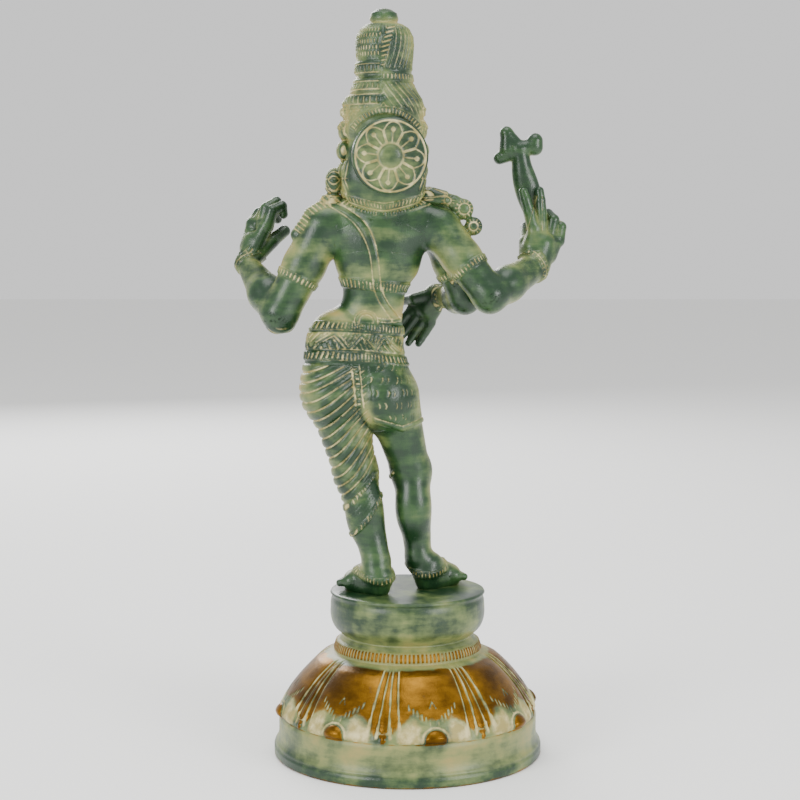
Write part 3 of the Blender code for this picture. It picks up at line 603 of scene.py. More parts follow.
    @staticmethod
    def face() -> list[Mass]:
        """Return nose, lips, eyelids, brows and ears, calm and plain."""
        masses: list[Mass] = [
            Bone((HEAD_X, -23.0, 268.0), (HEAD_X, -26.2, 258.4), 1.4, 2.0),
            Ball((HEAD_X, -18.2, 245.8), (4.6, 4.4, 4.0)),
            Ball((HEAD_X, -22.0, 274.0), (1.2, 1.6, 2.4)),
        ]
        masses += arch((HEAD_X, -22.6, 252.4), 4.8, 0.9, 2.0, (1.1, 0.6))
        masses += arch((HEAD_X, -22.4, 249.9), 3.8, 1.3, 1.4, (1.5, 0.7))
        for side in (-1, 1):
            masses.append(Ball((HEAD_X + side * 2.4, -24.2, 257.5), (1.5, 1.9, 1.4)))
            masses.append(Ball((HEAD_X + side * 7.4, -20.2, 263.8), (4.5, 3.3, 2.5), (side * 20, 0, 0)))
            masses.append(Ball((HEAD_X + side * 8.5, -15.0, 255.5), (7.0, 6.4, 7.0)))
            masses += arch((HEAD_X + side * 8.2, -20.6, 270.4), 5.6, -1.6, 0.6, (0.9, 0.7), 5)
            masses.append(Ball((HEAD_X + side * 19.5, -4.0, 262.0), (3.2, 4.8, 8.5)))
            masses.append(Ball((HEAD_X + side * 20.0, -5.0, 248.5), (4.0, 5.2, 5.6)))
        return masses

    @staticmethod
    def crown() -> list[Mass]:
        """Return the tall crown, widest round the brow and closed by a bulb and a knob."""
        profile = (
            (272, 22.0), (276, 23.4), (282, 23.8), (289, 23.4), (296, 22.2), (300, 19.6), (304, 17.6),
            (310, 16.6), (316, 16.2), (322, 16.8), (328, 17.2), (333, 16.8), (337, 14.8), (340, 11.4),
            (342, 8.4), (344, 8.6), (347, 7.8), (349, 4.6), (350, 1.0),
        )
        heights, radii = zip(*profile)
        return [Spun((HEAD_X, CROWN_Y), heights, radii)]

    @staticmethod
    def curls() -> list[Mass]:
        """Return the hair curls down both sides of the head and the ear ornament."""
        masses: list[Mass] = [Ball((44.0, 1, 248), (5.4, 7, 8))]
        for side, shift in ((1, 1.0), (-1, -0.8)):
            for number, inset in enumerate((3.0, 0.8, 0.2, 1.4, 3.4)):
                place = (HEAD_X + side * (23.4 + shift - inset), 0, CURL_FOOT + CURL_PITCH * number)
                masses.append(Ball(place, (4.6, 8.5, 6.2)))
        return masses

    @staticmethod
    def locks() -> list[Mass]:
        """Return the hair lock on the left shoulder and the flower tassel on the right."""
        return [
            Bone((45, 2, 236), (57, 3, 228), 5.2, 4.8),
            Bone((57, 3, 228), (66.0, 3, 216.0), 4.8, 4.2),
            Bone((-12, 2, 239.5), (-28, 2, 235), 4.6, 4.8),
            Ball((-33.2, 3, 231.2), (6.4, 5.6, 6.4)),
            Ball((-39.5, 4, 221.0), (5.4, 5.0, 5.6)),
        ]

    @staticmethod
    def cloth_ends() -> list[Mass]:
        """Return the ends of the cloth that hang between the legs."""
        return [Bone((27, -3, 90), (19.6, -3, 57), 2.8, 3.0), Bone((26, -9, 95), (23.0, -11, 60), 3.2, 2.8)]

    @staticmethod
    def axe() -> list[Mass]:
        """Return the battle axe: handle, two lobes on one side and a crescent on the other."""
        neck = (-68.8, -30, 268.0)
        return [
            Ball((-74.0, -29, 244), (7.8, 5.4, 22), (0, 16, 0)),
            Bone((-72.0, -30, 252), neck, 6.0, 5.6),
            Bone((-61.2, -30, 278.0), (-61.8, -30, 268.0), 3.9, 5.4),
            Bone(neck, (-60.8, -30, 278.6), 5.2, 3.8),
            Bone(neck, (-56.8, -30, 263.0), 5.2, 3.8),
            Bone(neck, (-77.4, -30, 270.6), 4.6, 5.2),
            Bone((-78.6, -30, 273.6), (-78.6, -30, 269.4), 4.8, 4.8),
        ]

    def distance(self, points: Array, names: Iterable[str]) -> Array:
        """Return the distance to the smooth skin around some groups, negative inside.

        Args:
            points: Places in mm, one a row.
            names: The groups, in the order in which they are blended.

        Returns:
            The distance at each place, or a large one far from every group.
        """
        far, margin = 60.0, 9.0
        whole = np.full(len(points), far)
        for name in names:
            group = self.groups[name]
            corners = [mass.box() for mass in group.masses]
            low = np.min([corner[0] for corner in corners], axis=0) - margin
            high = np.max([corner[1] for corner in corners], axis=0) + margin
            near = np.all((points > low) & (points < high), axis=1)
            close = points[near]
            part = group.masses[0].distance(close)
            for mass in group.masses[1:]:
                part = self.blended(part, mass.distance(close), group.inner_blend)
            whole[near] = self.blended(whole[near], part, group.outer_blend)
        return whole

    @staticmethod
    def blended(first: Array, second: Array, blend: float) -> Array:
        """Return the union of two distances, with a fillet of about the blend's width.

        Args:
            first: Distance to the first body, in mm.
            second: Distance to the second body, in mm.
            blend: Width of the fillet, in mm.

        Returns:
            The union of two distances, with a fillet of about the blend's width.
        """
        if blend <= 0.0:
            return np.minimum(first, second)
        overlap = np.maximum(blend - np.abs(first - second), 0.0) / blend
        return np.minimum(first, second) - overlap * overlap * blend * 0.25


def curved(value: Array, places: Sequence[float], values: Sequence[float], reach: float = 6.0) -> Array:
    """Return values read off a broken line whose corners are rounded over a reach."""
    shifts = np.linspace(-reach, reach, 5)
    return np.mean([np.interp(value + shift, places, values) for shift in shifts], axis=0)


class Relief:
    """What chasing adds at each vertex of a skin.

    Attributes:
        points: The vertices, in mm; x, y and z are their columns.
        height: How far each is raised, in mm.
        wash: How much cream is left in a chased line, from 0 to 1.
        bare: How far it is rubbed to the brass, from 0 to 1.
        stain: How much thin wash is left around it, which may be below 0 to keep it clean.
    """

    def __init__(self, points: Array) -> None:
        """Start from a plain skin.

        Args:
            points: Places in mm, one a row.
        """
        self.points = points
        self.x, self.y, self.z = points.T
        self.height, self.wash, self.bare, self.stain = np.zeros((4, len(points)))

    def lift(self, shape: Array, height: float) -> None:
        """Raise a shape by a height."""
        self.height += height * shape

    def cut(self, shape: Array, depth: float, wash: float = 1.0) -> None:
        """Chase a shape in, and leave the pale wash in it."""
        self.height -= depth * shape
        self.wash = np.maximum(self.wash, wash * shape)

    def rub(self, shape: Array) -> None:
        """Rub a shape down to the brass."""
        self.bare = np.maximum(self.bare, shape)

    def band(
        self, across: Array, along: Array, half_width: float, where: Array, rows: int = 1, pitch: float = 2.6
    ) -> None:
        """Add a raised band with framing lines and rows of upright strokes.

        Args:
            across: Distance from the band's middle line, in mm.
            along: Distance along the band, in mm.
            half_width: Half the band's width, in mm.
            where: 1 where the band runs, 0 elsewhere.
            rows: Number of rows of strokes.
            pitch: Distance between strokes, in mm.
        """
        border = 0.5
        body = plateau(across, half_width, 0.8) * where
        self.lift(body, 1.0)
        row_height = 2.0 * (half_width - border) / rows
        in_row = np.abs(np.mod(across + half_width - border, row_height) - 0.5 * row_height)
        frame_line = ridge(in_row - 0.5 * row_height, border)
        strokes = ticks(along, pitch) * np.clip((0.5 * row_height - 0.7 - in_row) / 0.3, 0, 1)
        self.cut(np.maximum(frame_line, strokes) * body, 0.55)


def limb_frame(points: Array, start: Sequence[float], end: Sequence[float]) -> tuple[Array, Array, Array]:
    """Return where points lie along and around a limb.

    Args:
        points: Places in mm.
        start: The limb's start.
        end: The limb's end.

    Returns:
        Distance along from the start in mm, distance from the axis in mm, and angle round it.
    """
    axis = unit(np.subtract(end, start))
    aside = unit(np.cross(axis, (0.3, 0.2, 1.0)))
    other = np.cross(axis, aside)
    local = points - np.asarray(start, float)
    sideways, upward = local @ aside, local @ other
    return local @ axis, np.hypot(sideways, upward), np.arctan2(upward, sideways)


class Chasing(Relief):
    """The relief of the standing figure. Each method chases one ornament, wherever the skin has it."""

    def limb_band(
        self, start: Triple, end: Triple, place: float, half_width: float, reach: float, rows: int = 1
    ) -> None:
        """Chase a band round a limb.

        Args:
            start: The limb's start.
            end: The limb's end.
            place: Where the band's middle lies, as a share of the limb.
            half_width: Half the band's width, in mm.
            reach: How far from the limb's axis the band may reach, in mm.
            rows: Number of rows of strokes.
        """
        along, away, angle = limb_frame(self.points, start, end)
        length = float(np.linalg.norm(np.subtract(end, start)))
        radius = 0.75 * reach
        self.band(along - place * length, angle * radius, half_width, (away < reach) * 1.0, rows, 2.5)

    def armlets(self) -> None:
        """Chase the armlet on each upper arm."""
        for side, half_width, reach in (("left", 2.9, 16.0), ("right", 2.9, 16.0), ("front", 2.8, 14.0)):
            self.limb_band(ARMS[side].root, ARMS[side].bend, ARMLET_PLACE, half_width, reach)

    def bracelets(self) -> None:
        """Chase the bracelet of two rows on each wrist."""
        for side, place, reach in (("left", 0.97, 12.0), ("right", 0.95, 11.5), ("front", 0.95, 11.0)):
            self.limb_band(ARMS[side].bend, ARMS[side].end, place, 3.2, reach, 2)

    def anklets(self) -> None:
        """Chase the anklets, which lie low on the heels and rise to the insteps."""
        for start, end in (
            ((19.0, 17.5, 22.4), (19.5, 10.5, 3.6)),
            ((-8.0, 1.5, 22.4), (-7.0, -5.5, 3.6)),
        ):
            self.limb_band(start, end, 0.5, 2.7, 17.0)

    def trunk_mask(self) -> Array:
        """Return 1 on the trunk and 0 on the arms that hang beside it."""
        heights = (140, 160, 185, 205)
        left_edge = np.interp(self.z, heights, (75, 58, 47, 48))
        right_edge = np.interp(self.z, heights, (-14, -6, -8, -14))
        inside = np.minimum(left_edge - self.x, self.x - right_edge)
        return np.clip(inside / 1.5, 0, 1) * ramp(self.z, 215.0, 213.0) * (self.y > -28)

    def angle_round(self, centre_x: float, centre_y: float) -> Array:
        """Return the angle round an upright axis: 0 at the back, positive toward the figure's left."""
        return np.arctan2(self.x - centre_x, self.y - centre_y)

    def between_legs(self) -> Array:
        """Return the x at which the woman's dress ends and the man's leg begins."""
        return np.interp(self.z, (40, 60, 95, 145), (8, 12, 20, 25))

    def necklace(self) -> None:
        """Chase the broad necklace of two rows of strokes round the neck."""
        angle = self.angle_round(HEAD_X, 0.0)
        reach = np.hypot(self.x - HEAD_X, self.y)
        turned = np.abs(angle) / math.pi * 2.0
        droop = np.where(turned < 1.0, 230.5 + 10.0 * turned**1.6, 240.5 - 22.0 * (turned - 1.0))
        near = np.clip((39.0 - reach) / 1.5, 0, 1)
        self.band(self.z - droop, angle * 24.0, 4.9, near, 2, 2.3)

    def thread(self) -> None:
        """Chase the sacred thread: a flat cord from the left shoulder to the right hip."""
        heights = (159, 180, 190, 207, 223, 230, 238)
        route = curved(self.z, heights, (2, 17.5, 18.5, 20, 27, 36, 52))
        slant = curved(self.z, heights, (1.5, 1.05, 1.0, 1.05, 1.6, 1.9, 1.9))
        aside = (self.x - route) / slant
        where = ramp(self.y, 0.0, 2.0) * ramp(self.z, 162.0, 165.0) * ramp(self.z, 240.0, 236.0)
        self.lift(plateau(aside, 1.9, 0.9) * where, 0.55)
        self.cut(ridge(np.abs(aside) - 2.2, 0.65) * where, 0.25, 0.85)

    def chest_band(self) -> None:
        """Chase the band round the ribs, and leave some wash on the shoulder blades."""
        middle = 185.3 + 0.10 * (self.x - HEAD_X)
        along = self.angle_round(18.0, 0.0) * 19.0
        self.band(self.z - middle, along, 3.7, self.trunk_mask())
        self.stain += 0.22 * plateau(self.z - 204.0, 22.0, 12.0)

    def belts(self) -> None:
        """Chase the broad hip belt: two stroke bands with a panel of zigzags between them."""
        low_trunk = np.maximum(self.trunk_mask(), ramp(self.z, 162.0, 158.0))
        along = self.angle_round(27.0, 0.0) * 25.0
        sag = -0.10 * (HEAD_X - self.x) - 0.0022 * (self.x - 22.0) ** 2
        level = self.z - sag
        for middle in (160.0, 142.2):
            self.band(level - middle, along, 3.2, low_trunk)
        self.stain += plateau(self.z - 169.0, 7.0, 8.0) * low_trunk * ramp(self.y, -10.0, -2.0)
        self.belt_panel(level - BELT_MIDDLE, level, along, low_trunk)
        self.belt_scroll()

    def belt_panel(self, across: Array, level: Array, along: Array, where: Array) -> None:
        """Chase the belt's panel: a double zigzag with hatching above it and bars below.

        Args:
            across: Distance above the panel's middle, in mm.
            level: Height on the sagging belt, in mm.
            along: Distance along the belt, in mm.
            where: 1 where the belt runs, 0 elsewhere.
        """
        panel = plateau(across, 5.6, 0.8) * where
        self.lift(panel, 0.7)
        pitch = 21.0
        wave = np.abs(np.mod(along, pitch) - 0.5 * pitch) * 2.0 / pitch
        zigzag = (across - (wave - 0.5) * 9.0) * 0.8
        lines = np.maximum(ridge(zigzag - 1.1, 0.6), ridge(zigzag + 1.1, 0.6))
        hatch = ticks(along * 0.8 + level * 0.6, 2.7, 0.36) * (zigzag > 2.2)
        bars = ticks(along * 0.8 - level * 0.6, 3.4, 0.30) * (zigzag < -2.2)
        self.stain += 0.5 * panel * ramp(zigzag, -1.0, 0.5)
        inner = np.clip((4.6 - np.abs(across)) / 0.4, 0, 1)
        edge = ridge(np.abs(across) - 4.9, 0.45)
        self.cut(np.maximum(np.maximum.reduce([lines, hatch, bars]) * inner, edge) * panel, 0.5)

    def belt_scroll(self) -> None:
        """Chase the knotted loop and the swag of two lines above the belt, at the back."""
        loop = np.hypot((self.x - 24.8) / 5.6, (self.z - 164.5) / 5.2)
        from_loop = np.abs(loop - 1.0) * 5.2
        over = (self.z > 163.5) * (self.y > 0)
        self.lift(ridge(from_loop, 1.1) * over, 0.8)
        self.cut(ridge(from_loop - 1.3, 0.5) * over, 0.3)
        swag = self.z - 163.6 - 0.012 * (self.x - 10.0) ** 2
        right = over * ramp(self.x, 20.0, 18.0) * (self.x > -8)
        self.cut(np.maximum(ridge(swag, 0.5), ridge(swag - 2.2, 0.5)) * right, 0.4)

    def dress(self) -> None:
        """Chase the slanting folds on the woman's leg, their hems and the sash beside them."""
        x, y, z = self.points.T
        outer = np.interp(z, (45, 72, 100, 125, 145), (42, 46, 57, 64, 65))
        inside = x - self.between_legs()
        slope = np.interp(z, (60, 110, 145), (1.0, 0.62, 0.36))
        sweep = np.clip((outer - x) / 30.0, 0.0, None) ** 1.6 * 30.0
        level = z - slope * sweep
        below_belt = ramp(z, GARMENT_TOP, GARMENT_TOP - 1.5)
        leg = np.clip(inside / 9.0, 0, 1) * below_belt * ramp(level, 53.0, 55.0)
        fold_pitch = 5.8
        phase = np.abs(np.mod(level, fold_pitch) / fold_pitch * 2.0 - 1.0)
        self.lift((1.0 - phase**2.6) * leg, 1.1)
        sash = x - curved(z, (100, 140), (26.5, 31.5))
        behind = ramp(y, 1.0, 3.0) * below_belt * ramp(z, 112.0, 114.0)
        beside = 1.0 - plateau(sash, 3.0, 0.6) * behind
        on_folds = np.clip(inside / 2.0, 0, 1) * beside * below_belt * ramp(level, 53.0, 54.0)
        self.cut(np.clip((phase - 0.72) / 0.2, 0, 1) * on_folds, 0.25)
        fine = ticks(level, 0.5 * fold_pitch, 0.3) * np.clip((15.0 - inside) / 3.0, 0, 1) * (z > 70)
        self.cut(fine * on_folds, 0.22, 0.8)
        self.stain += 0.85 * plateau(inside - 2.0, 9.0, 9.0) * plateau(z - 108.0, 16.0, 14.0) * (y > 0)
        leg_only = ramp(x, 7.0, 9.0) * (z < 74)
        for hem in (50.2, 32.4):
            self.band(level - hem, x * 1.4 + y, 2.5, leg_only, pitch=2.5)
        between = plateau(level - 41.3, 6.0, 0.6) * leg_only
        self.cut(ticks(level, 3.2, 0.22) * between, 0.22, 0.7)
        self.lift(plateau(sash, 2.6, 0.8) * behind, 0.7)
        edges = ridge(np.abs(sash) - 2.4, 0.6)
        strokes = ticks(z, 2.9, 0.4) * plateau(sash, 1.5, 0.3)
        self.cut(np.maximum(edges, strokes) * behind, 0.45)

    def garment(self) -> None:
        """Chase the man's short garment: its hem, and pairs of small curved flecks."""
        x, y, z = self.points.T
        above_hem = z - 98.5 - 0.35 * np.abs(x - 3.0)
        on_right = np.clip((self.between_legs() - x) / 2.0, 0, 1) * (z > 70)
        cloth = np.clip(above_hem / 0.8, 0, 1) * ramp(z, GARMENT_TOP, GARMENT_TOP - 1.5) * on_right
        self.lift(cloth, 0.65)
        self.lift(plateau(above_hem - 1.5, 1.7, 0.5) * on_right, 0.6)
        self.cut(ridge(above_hem - 3.5, 0.5) * on_right, 0.3)
        around = np.arctan2(x - 5.0, y - 3.0) * 18.0
        row_pitch, fleck_pitch = 7.4, 7.2
        odd_row = np.mod(np.floor(z / row_pitch), 2.0)
        across = np.mod(around + 0.5 * fleck_pitch * odd_row, fleck_pitch) - 0.5 * fleck_pitch
        upward = np.mod(z, row_pitch) - 0.5 * row_pitch
        flecks = np.zeros(len(z))
        for shift in (-1.3, 1.2):
            bow = ridge(np.hypot(across - shift - 3.0, upward) - 3.2, 0.45)
            flecks = np.maximum(flecks, bow * (across < shift + 1.6) * (np.abs(upward) < 2.2))
        clear_of_hem = np.clip(above_hem - 5.0, 0, 1) * ramp(y, -2.0, 1.0)
        self.cut(flecks * cloth * clear_of_hem, 0.35, 0.9)

    def crown(self) -> None:
        """Chase ringed tiers on the woman's half of the crown and long strands on the man's half."""
        angle = self.angle_round(HEAD_X, CROWN_Y)
        womans = np.clip(0.5 + 7.0 * np.sin(angle - 0.10), 0, 1)
        around = angle * 17.0
        strand = around - 0.55 * (self.z - 296.0) * np.sign(-angle)
        self.crown_tiers(around, womans)
        self.crown_strands(around, strand, np.sign(angle), 1.0 - womans)
        clear = ramp(np.hypot(self.x - ARCH_X, self.z - ARCH_Z), ARCH_RADIUS + 3.5, ARCH_RADIUS + 4.3)
        fans = ramp(self.z, 276.0, 278.0) * ramp(self.z, 291.8, 291.0) * ramp(self.y, -4.0, -2.0) * clear
        hatch = np.maximum(ticks(around + 0.8 * self.z, 3.0, 0.3), ticks(around - 0.8 * self.z, 3.0, 0.3))
        self.cut(hatch * fans * womans, 0.4, 0.7)
        self.cut(ticks(strand, 3.3, 0.30) * fans * (1.0 - womans), 0.4, 0.7)
        self.cut(ridge(self.z - 341.6, 1.2), 0.5, 0.5)

    def crown_tiers(self, around: Array, where: Array) -> None:
        """Chase three tiers with bars, and rows of dashes on the bulb above them.

        Args:
            around: Distance round the crown, in mm.
            where: 1 on the woman's half, 0 on the man's.
        """
        z = self.z
        for low, high in ((310.3, 318.2), (299.3, 308.2), (292.2, 298.8)):
            middle, half = 0.5 * (low + high), 0.5 * (high - low)
            self.lift(np.sqrt(plateau(z - middle, half, 1.6) * where), 1.5)
            self.cut(ticks(around, 3.0, 0.40) * plateau(z - middle + 0.7, 2.0, 0.4) * where, 0.7, 0.6)
            rims = np.maximum(ridge(z - middle - 2.0, 0.5), ridge(z - middle + 3.1, 0.5))
            self.cut(rims * where, 0.45)
        bulb = ramp(z, 319.0, 321.0) * ramp(z, 340.0, 337.0)
        row_pitch = 3.6
        odd_row = np.mod(np.floor(z / row_pitch), 2.0)
        dash = ticks(around + 1.1 * odd_row, 2.2, 0.4)
        dash *= plateau(np.mod(z, row_pitch) - 0.5 * row_pitch, 1.5, 0.4)
        self.cut(dash * bulb * where, 0.45)

    def crown_strands(self, around: Array, strand: Array, side: Array, where: Array) -> None:
        """Chase matted hair gathered by a band, with a ladder of strokes up its back.

        Args:
            around: Distance round the crown, in mm.
            strand: Distance across the slanting strands below the band, in mm.
            side: 1 on the left of the crown's back, -1 on its right.
            where: 1 on the man's half, 0 on the woman's.
        """
        z = self.z
        sweep = around + 0.0075 * (z - 338.0) ** 2 * side
        ladder = plateau(self.x - HEAD_X + 2.0 + 0.30 * (z - 329.6), 2.6, 0.4) * (self.y > 0)
        upper = where * ramp(z, 312.5, 314.0) * ramp(z, 341.0, 338.0)
        lower = where * ramp(z, 289.0, 291.0) * ramp(z, 306.0, 305.0)
        self.lift(ridge(np.mod(sweep, 3.1) - 1.55, 1.6) * upper * (1.0 - ladder), 0.9)
        self.cut(ticks(sweep + 1.55, 3.1, 0.24) * upper * (1.0 - ladder), 0.3, 0.8)
        self.cut(ticks(z + 0.3 * self.x, 2.6, 0.45) * ladder * upper, 0.6)
        self.lift(plateau(z - 308.8, 2.6, 0.8) * where, 0.9)
        self.cut(ticks(around, 2.4, 0.4) * plateau(z - 308.8, 1.8, 0.3) * where, 0.55)
        self.lift(ridge(np.mod(strand, 3.3) - 1.65, 1.7) * lower, 1.0)
        self.cut(ticks(strand + 1.65, 3.3, 0.24) * lower, 0.3, 0.8)

    def arch(self) -> None:
        """Chase the arched band over the wheel, and the two jewelled bands over the brow."""
        x, y, z = self.points.T
        sideways, upward = x - ARCH_X, z - ARCH_Z
        polar = np.arctan2(sideways, upward)
        behind = (y > 2) * np.clip((1.05 - np.abs(polar)) / 0.1, 0, 1)
        from_arch = np.hypot(sideways, upward) - ARCH_RADIUS
        self.band(from_arch, polar * ARCH_RADIUS, 2.7, behind, pitch=2.0)
        angle = np.arctan2(x - HEAD_X, CROWN_Y - y)
        brow = 281.5 + 2.5 * np.cos(angle)
        front = (y < 6) * 1.0
        self.band(z - brow, angle * 23.0, 3.4, front, pitch=2.8)
        self.band(z - brow - 7.4, angle * 22.0, 3.0, front, pitch=2.8)

    def hair(self) -> None:
        """Chase swirls and creases in the side curls, and strands on the hair behind them."""
        x, y, z = self.points.T
        outward = np.abs(x - HEAD_X)
        side = np.clip((outward - 20.0) / 2.0, 0, 1) * (z < 293) * (z > 234)
        in_curl = np.mod(z - CURL_FOOT + 0.5 * CURL_PITCH, CURL_PITCH) - 0.5 * CURL_PITCH
        self.cut(ticks(np.hypot(y + 1.0, in_curl), 2.3, 0.35) * side, 0.4, 0.9)
        self.cut(ridge(in_curl + 0.5 * CURL_PITCH - 0.2, 0.8) * side, 0.4, 0.8)
        strands = ticks(np.arctan2(x - HEAD_X, y) * 20.0, 2.6, 0.3) * plateau(y, 12.0, 2.0)
        self.cut(strands * (z < 262) * (z > 240) * (outward > 15) * (side < 0.5), 0.25, 0.7)

    def face(self) -> None:
        """Chase the hollows above the eyes, the lid lines, the brows and the parting of the lips."""
        x, y, z = self.points.T
        face = y < -14
        for side in (-1, 1):
            across = (x - HEAD_X - side * 7.0) / 6.0
            self.height -= 0.9 * np.exp(-(across**2) - ((z - 266.8) / 2.0) ** 2) * face
            bow = np.abs(x - HEAD_X - side * 7.4)
            upper = z - 264.9 + 0.045 * bow**2
            lower = z - 261.9 - 0.035 * bow**2
            lids = np.maximum(ridge(upper, 0.42), ridge(lower, 0.38)) * (bow < 5.2) * face
            self.cut(lids, 0.35, 0.7)
            from_brow = np.abs(x - HEAD_X - side * 8.2)
            brow = z - 271.4 + 0.05 * from_brow**2
            self.cut(ridge(brow, 0.4) * (from_brow < 6.0) * face, 0.2, 0.6)
        aside = np.abs(x - HEAD_X)
        parting = ridge(z - 251.1 - 0.03 * aside**2, 0.55) * (aside < 5.2) * (y < -19)
        self.cut(parting, 0.55, 0.6)

    def locks(self) -> None:
        """Chase cross strokes on the shoulder lock and beading round the flower bosses."""
        path = ((46, 2, 240), (57, 3, 228), (66, 3, 216))
        for start, end in zip(path, path[1:]):
            along, away, _ = limb_frame(self.points, start, end)
            length = float(np.linalg.norm(np.subtract(end, start)))
            where = (away < 7.0) * (along > 0) * (along < length) * ramp(self.z, 215.0, 218.0)
            self.cut(ticks(along, 2.6, 0.4) * where, 0.4)
        bosses = (((-34.0, 3, 231.5), 6.2), ((-39.5, 4, 221.0), 5.4), ((-24.0, 3, 236.5), 4.8))
        for centre, radius in bosses:
            sideways, behind, upward = (self.points - np.asarray(centre)).T
            flat = np.hypot(sideways, upward)
            near = (np.hypot(flat, behind) < radius + 2.5) * (behind > 0)
            beads = ticks(np.arctan2(sideways, upward) * 4.0, 2.0, 0.35)
            beads *= plateau(flat - radius + 1.4, 1.2, 0.3)
            self.cut(np.maximum(ridge(flat - radius + 2.8, 0.5), beads) * near, 0.45)

    def axe(self) -> None:
        """Score two faint lines along the axe's handle, where the fingers hold it."""
        held = (self.z > 218.0) * (self.z < 240.0) * (self.y > -34.0)
        for line in (self.x + 74.0 + 0.30 * (self.z - 222.0), self.x + 82.6):
            self.cut(ridge(line, 0.5) * held, 0.3, 0.8)


def vertex_arrays(mesh: bpy.types.Mesh) -> tuple[Array, Array]:
    """Return the positions and normals of a mesh's vertices.

    Args:
        mesh: The piece's mesh.

    Returns:
        The positions and normals of a mesh's vertices.
    """
    count = len(mesh.vertices)
    points = np.empty(count * 3, dtype=np.float32)
    normals = np.empty(count * 3, dtype=np.float32)
    mesh.vertices.foreach_get("co", points)
    mesh.vertices.foreach_get("normal", normals)
    return points.reshape(-1, 3).astype(float), normals.reshape(-1, 3).astype(float)


def move_vertices(mesh: bpy.types.Mesh, points: Array) -> None:
    """Put every vertex at its new position."""
    mesh.vertices.foreach_set("co", points.astype(np.float32).ravel())
    mesh.update()


def edge_ends(mesh: bpy.types.Mesh) -> Array:
    """Return the two vertex numbers of every edge.

    Args:
        mesh: The piece's mesh.

    Returns:
        The two vertex numbers of every edge.
    """
    ends = np.empty(len(mesh.edges) * 2, dtype=np.int32)
    mesh.edges.foreach_get("vertices", ends)
    return ends.reshape(-1, 2)


def spread(values: Array, ends: Array, passes: int) -> Array:
    """Return values averaged over neighbouring vertices a number of times.

    Args:
        values: Values at the vertices.
        ends: The vertex numbers of each edge.
        passes: How many times they are averaged.

    Returns:
        Values averaged over neighbouring vertices a number of times.
    """
    count = len(values)
    shared = np.bincount(ends.ravel(), minlength=count) + 1.0
    for _ in range(passes):
        total = values.copy()
        total += np.bincount(ends[:, 0], weights=values[ends[:, 1]], minlength=count)
        total += np.bincount(ends[:, 1], weights=values[ends[:, 0]], minlength=count)
        values = total / shared
    return values


def hollowness(mesh: bpy.types.Mesh) -> Array:
    """Return how hollow the skin is at each vertex: positive in a recess, negative on an edge.

    Args:
        mesh: The piece's mesh.

    Returns:
        How hollow the skin is at each vertex: positive in a recess, negative on an edge.
    """
    points, normals = vertex_arrays(mesh)
    ends = edge_ends(mesh)
    first, second = ends.T
    step = points[second] - points[first]
    step /= np.maximum(np.linalg.norm(step, axis=1), 1e-9)[:, None]
    from_first = np.einsum("ij,ij->i", normals[first], step)
    from_second = -np.einsum("ij,ij->i", normals[second], step)
    total = np.bincount(first, weights=from_first, minlength=len(points))
    total += np.bincount(second, weights=from_second, minlength=len(points))
    return total / np.maximum(np.bincount(ends.ravel(), minlength=len(points)), 1)


def store(mesh: bpy.types.Mesh, name: str, values: Array) -> None:
    """Keep one number a vertex as an attribute that the finish reads."""
    attribute = mesh.attributes.new(name, "FLOAT", "POINT")
    attribute.data.foreach_set("value", values.astype(np.float32))


def dress_skin(mesh: bpy.types.Mesh, relief: Relief, edge_gain: float = 1.0, flank_gain: float = 0.6) -> None:
    """Store what the finish needs: wash in the recesses, bare metal, and broad hollows with a painted sheen
    on the flanks.

    Args:
        mesh: The finished mesh, still in mm.
        relief: The chasing that it carries.
        edge_gain: How strongly sharp edges are rubbed.
        flank_gain: Painted sheen on flanks seen edge-on by the camera, over what faces the back or front.
    """
    ends = edge_ends(mesh)
    hollow = hollowness(mesh)
    fine = spread(hollow, ends, 1)
    wash = np.clip(np.maximum(spread(relief.wash, ends, 1), (fine - 0.07) * 2.4), 0, 1)
    store(mesh, "wash", wash)
    store(mesh, "smear", np.clip(spread(wash, ends, SMEAR_PASSES) * 0.8 + relief.stain, 0, 1))
    _, normals = vertex_arrays(mesh)
    # Painted sheen: paler where the skin turns edge-on to the camera along y, standing in for grazing
    # reflection
    flank_sheen = spread((1.0 - np.abs(normals[:, 1])) ** 1.5, ends, FLANK_SHEEN_PASSES) - 0.30
    # the hollow attribute holds the wash settled in broad hollows plus the painted sheen on the flanks
    settled = 0.5 + spread(hollow, ends, SMEAR_PASSES) * 7.0 + flank_gain * flank_sheen
    store(mesh, "hollow", np.clip(settled, 0, 1))
    store(mesh, "bare", np.clip(relief.bare, 0, 1))
    store(mesh, "edge", np.clip((-fine - 0.08) * 3.0 * edge_gain, 0, 1))


def new_object(name: str, data: bpy.types.ID) -> bpy.types.Object:
    """Put a mesh, light or camera in the scene as a named object.

    Args:
        name: The object's name.
        data: What it shows.

    Returns:
        The object.
    """
    thing = bpy.data.objects.new(name, data)
    bpy.context.scene.collection.objects.link(thing)
    return thing


def apply_modifiers(thing: bpy.types.Object) -> None:
    """Replace an object's mesh by its evaluated one and clear its modifiers.

    Args:
        thing: The piece's object.
    """
    bpy.context.view_layer.update()
    shown = thing.evaluated_get(bpy.context.evaluated_depsgraph_get())
    mesh = bpy.data.meshes.new_from_object(shown)
    thing.modifiers.clear()
    old = thing.data
    thing.data = mesh
    bpy.data.meshes.remove(old)


Cut = Callable[[Array], Array]


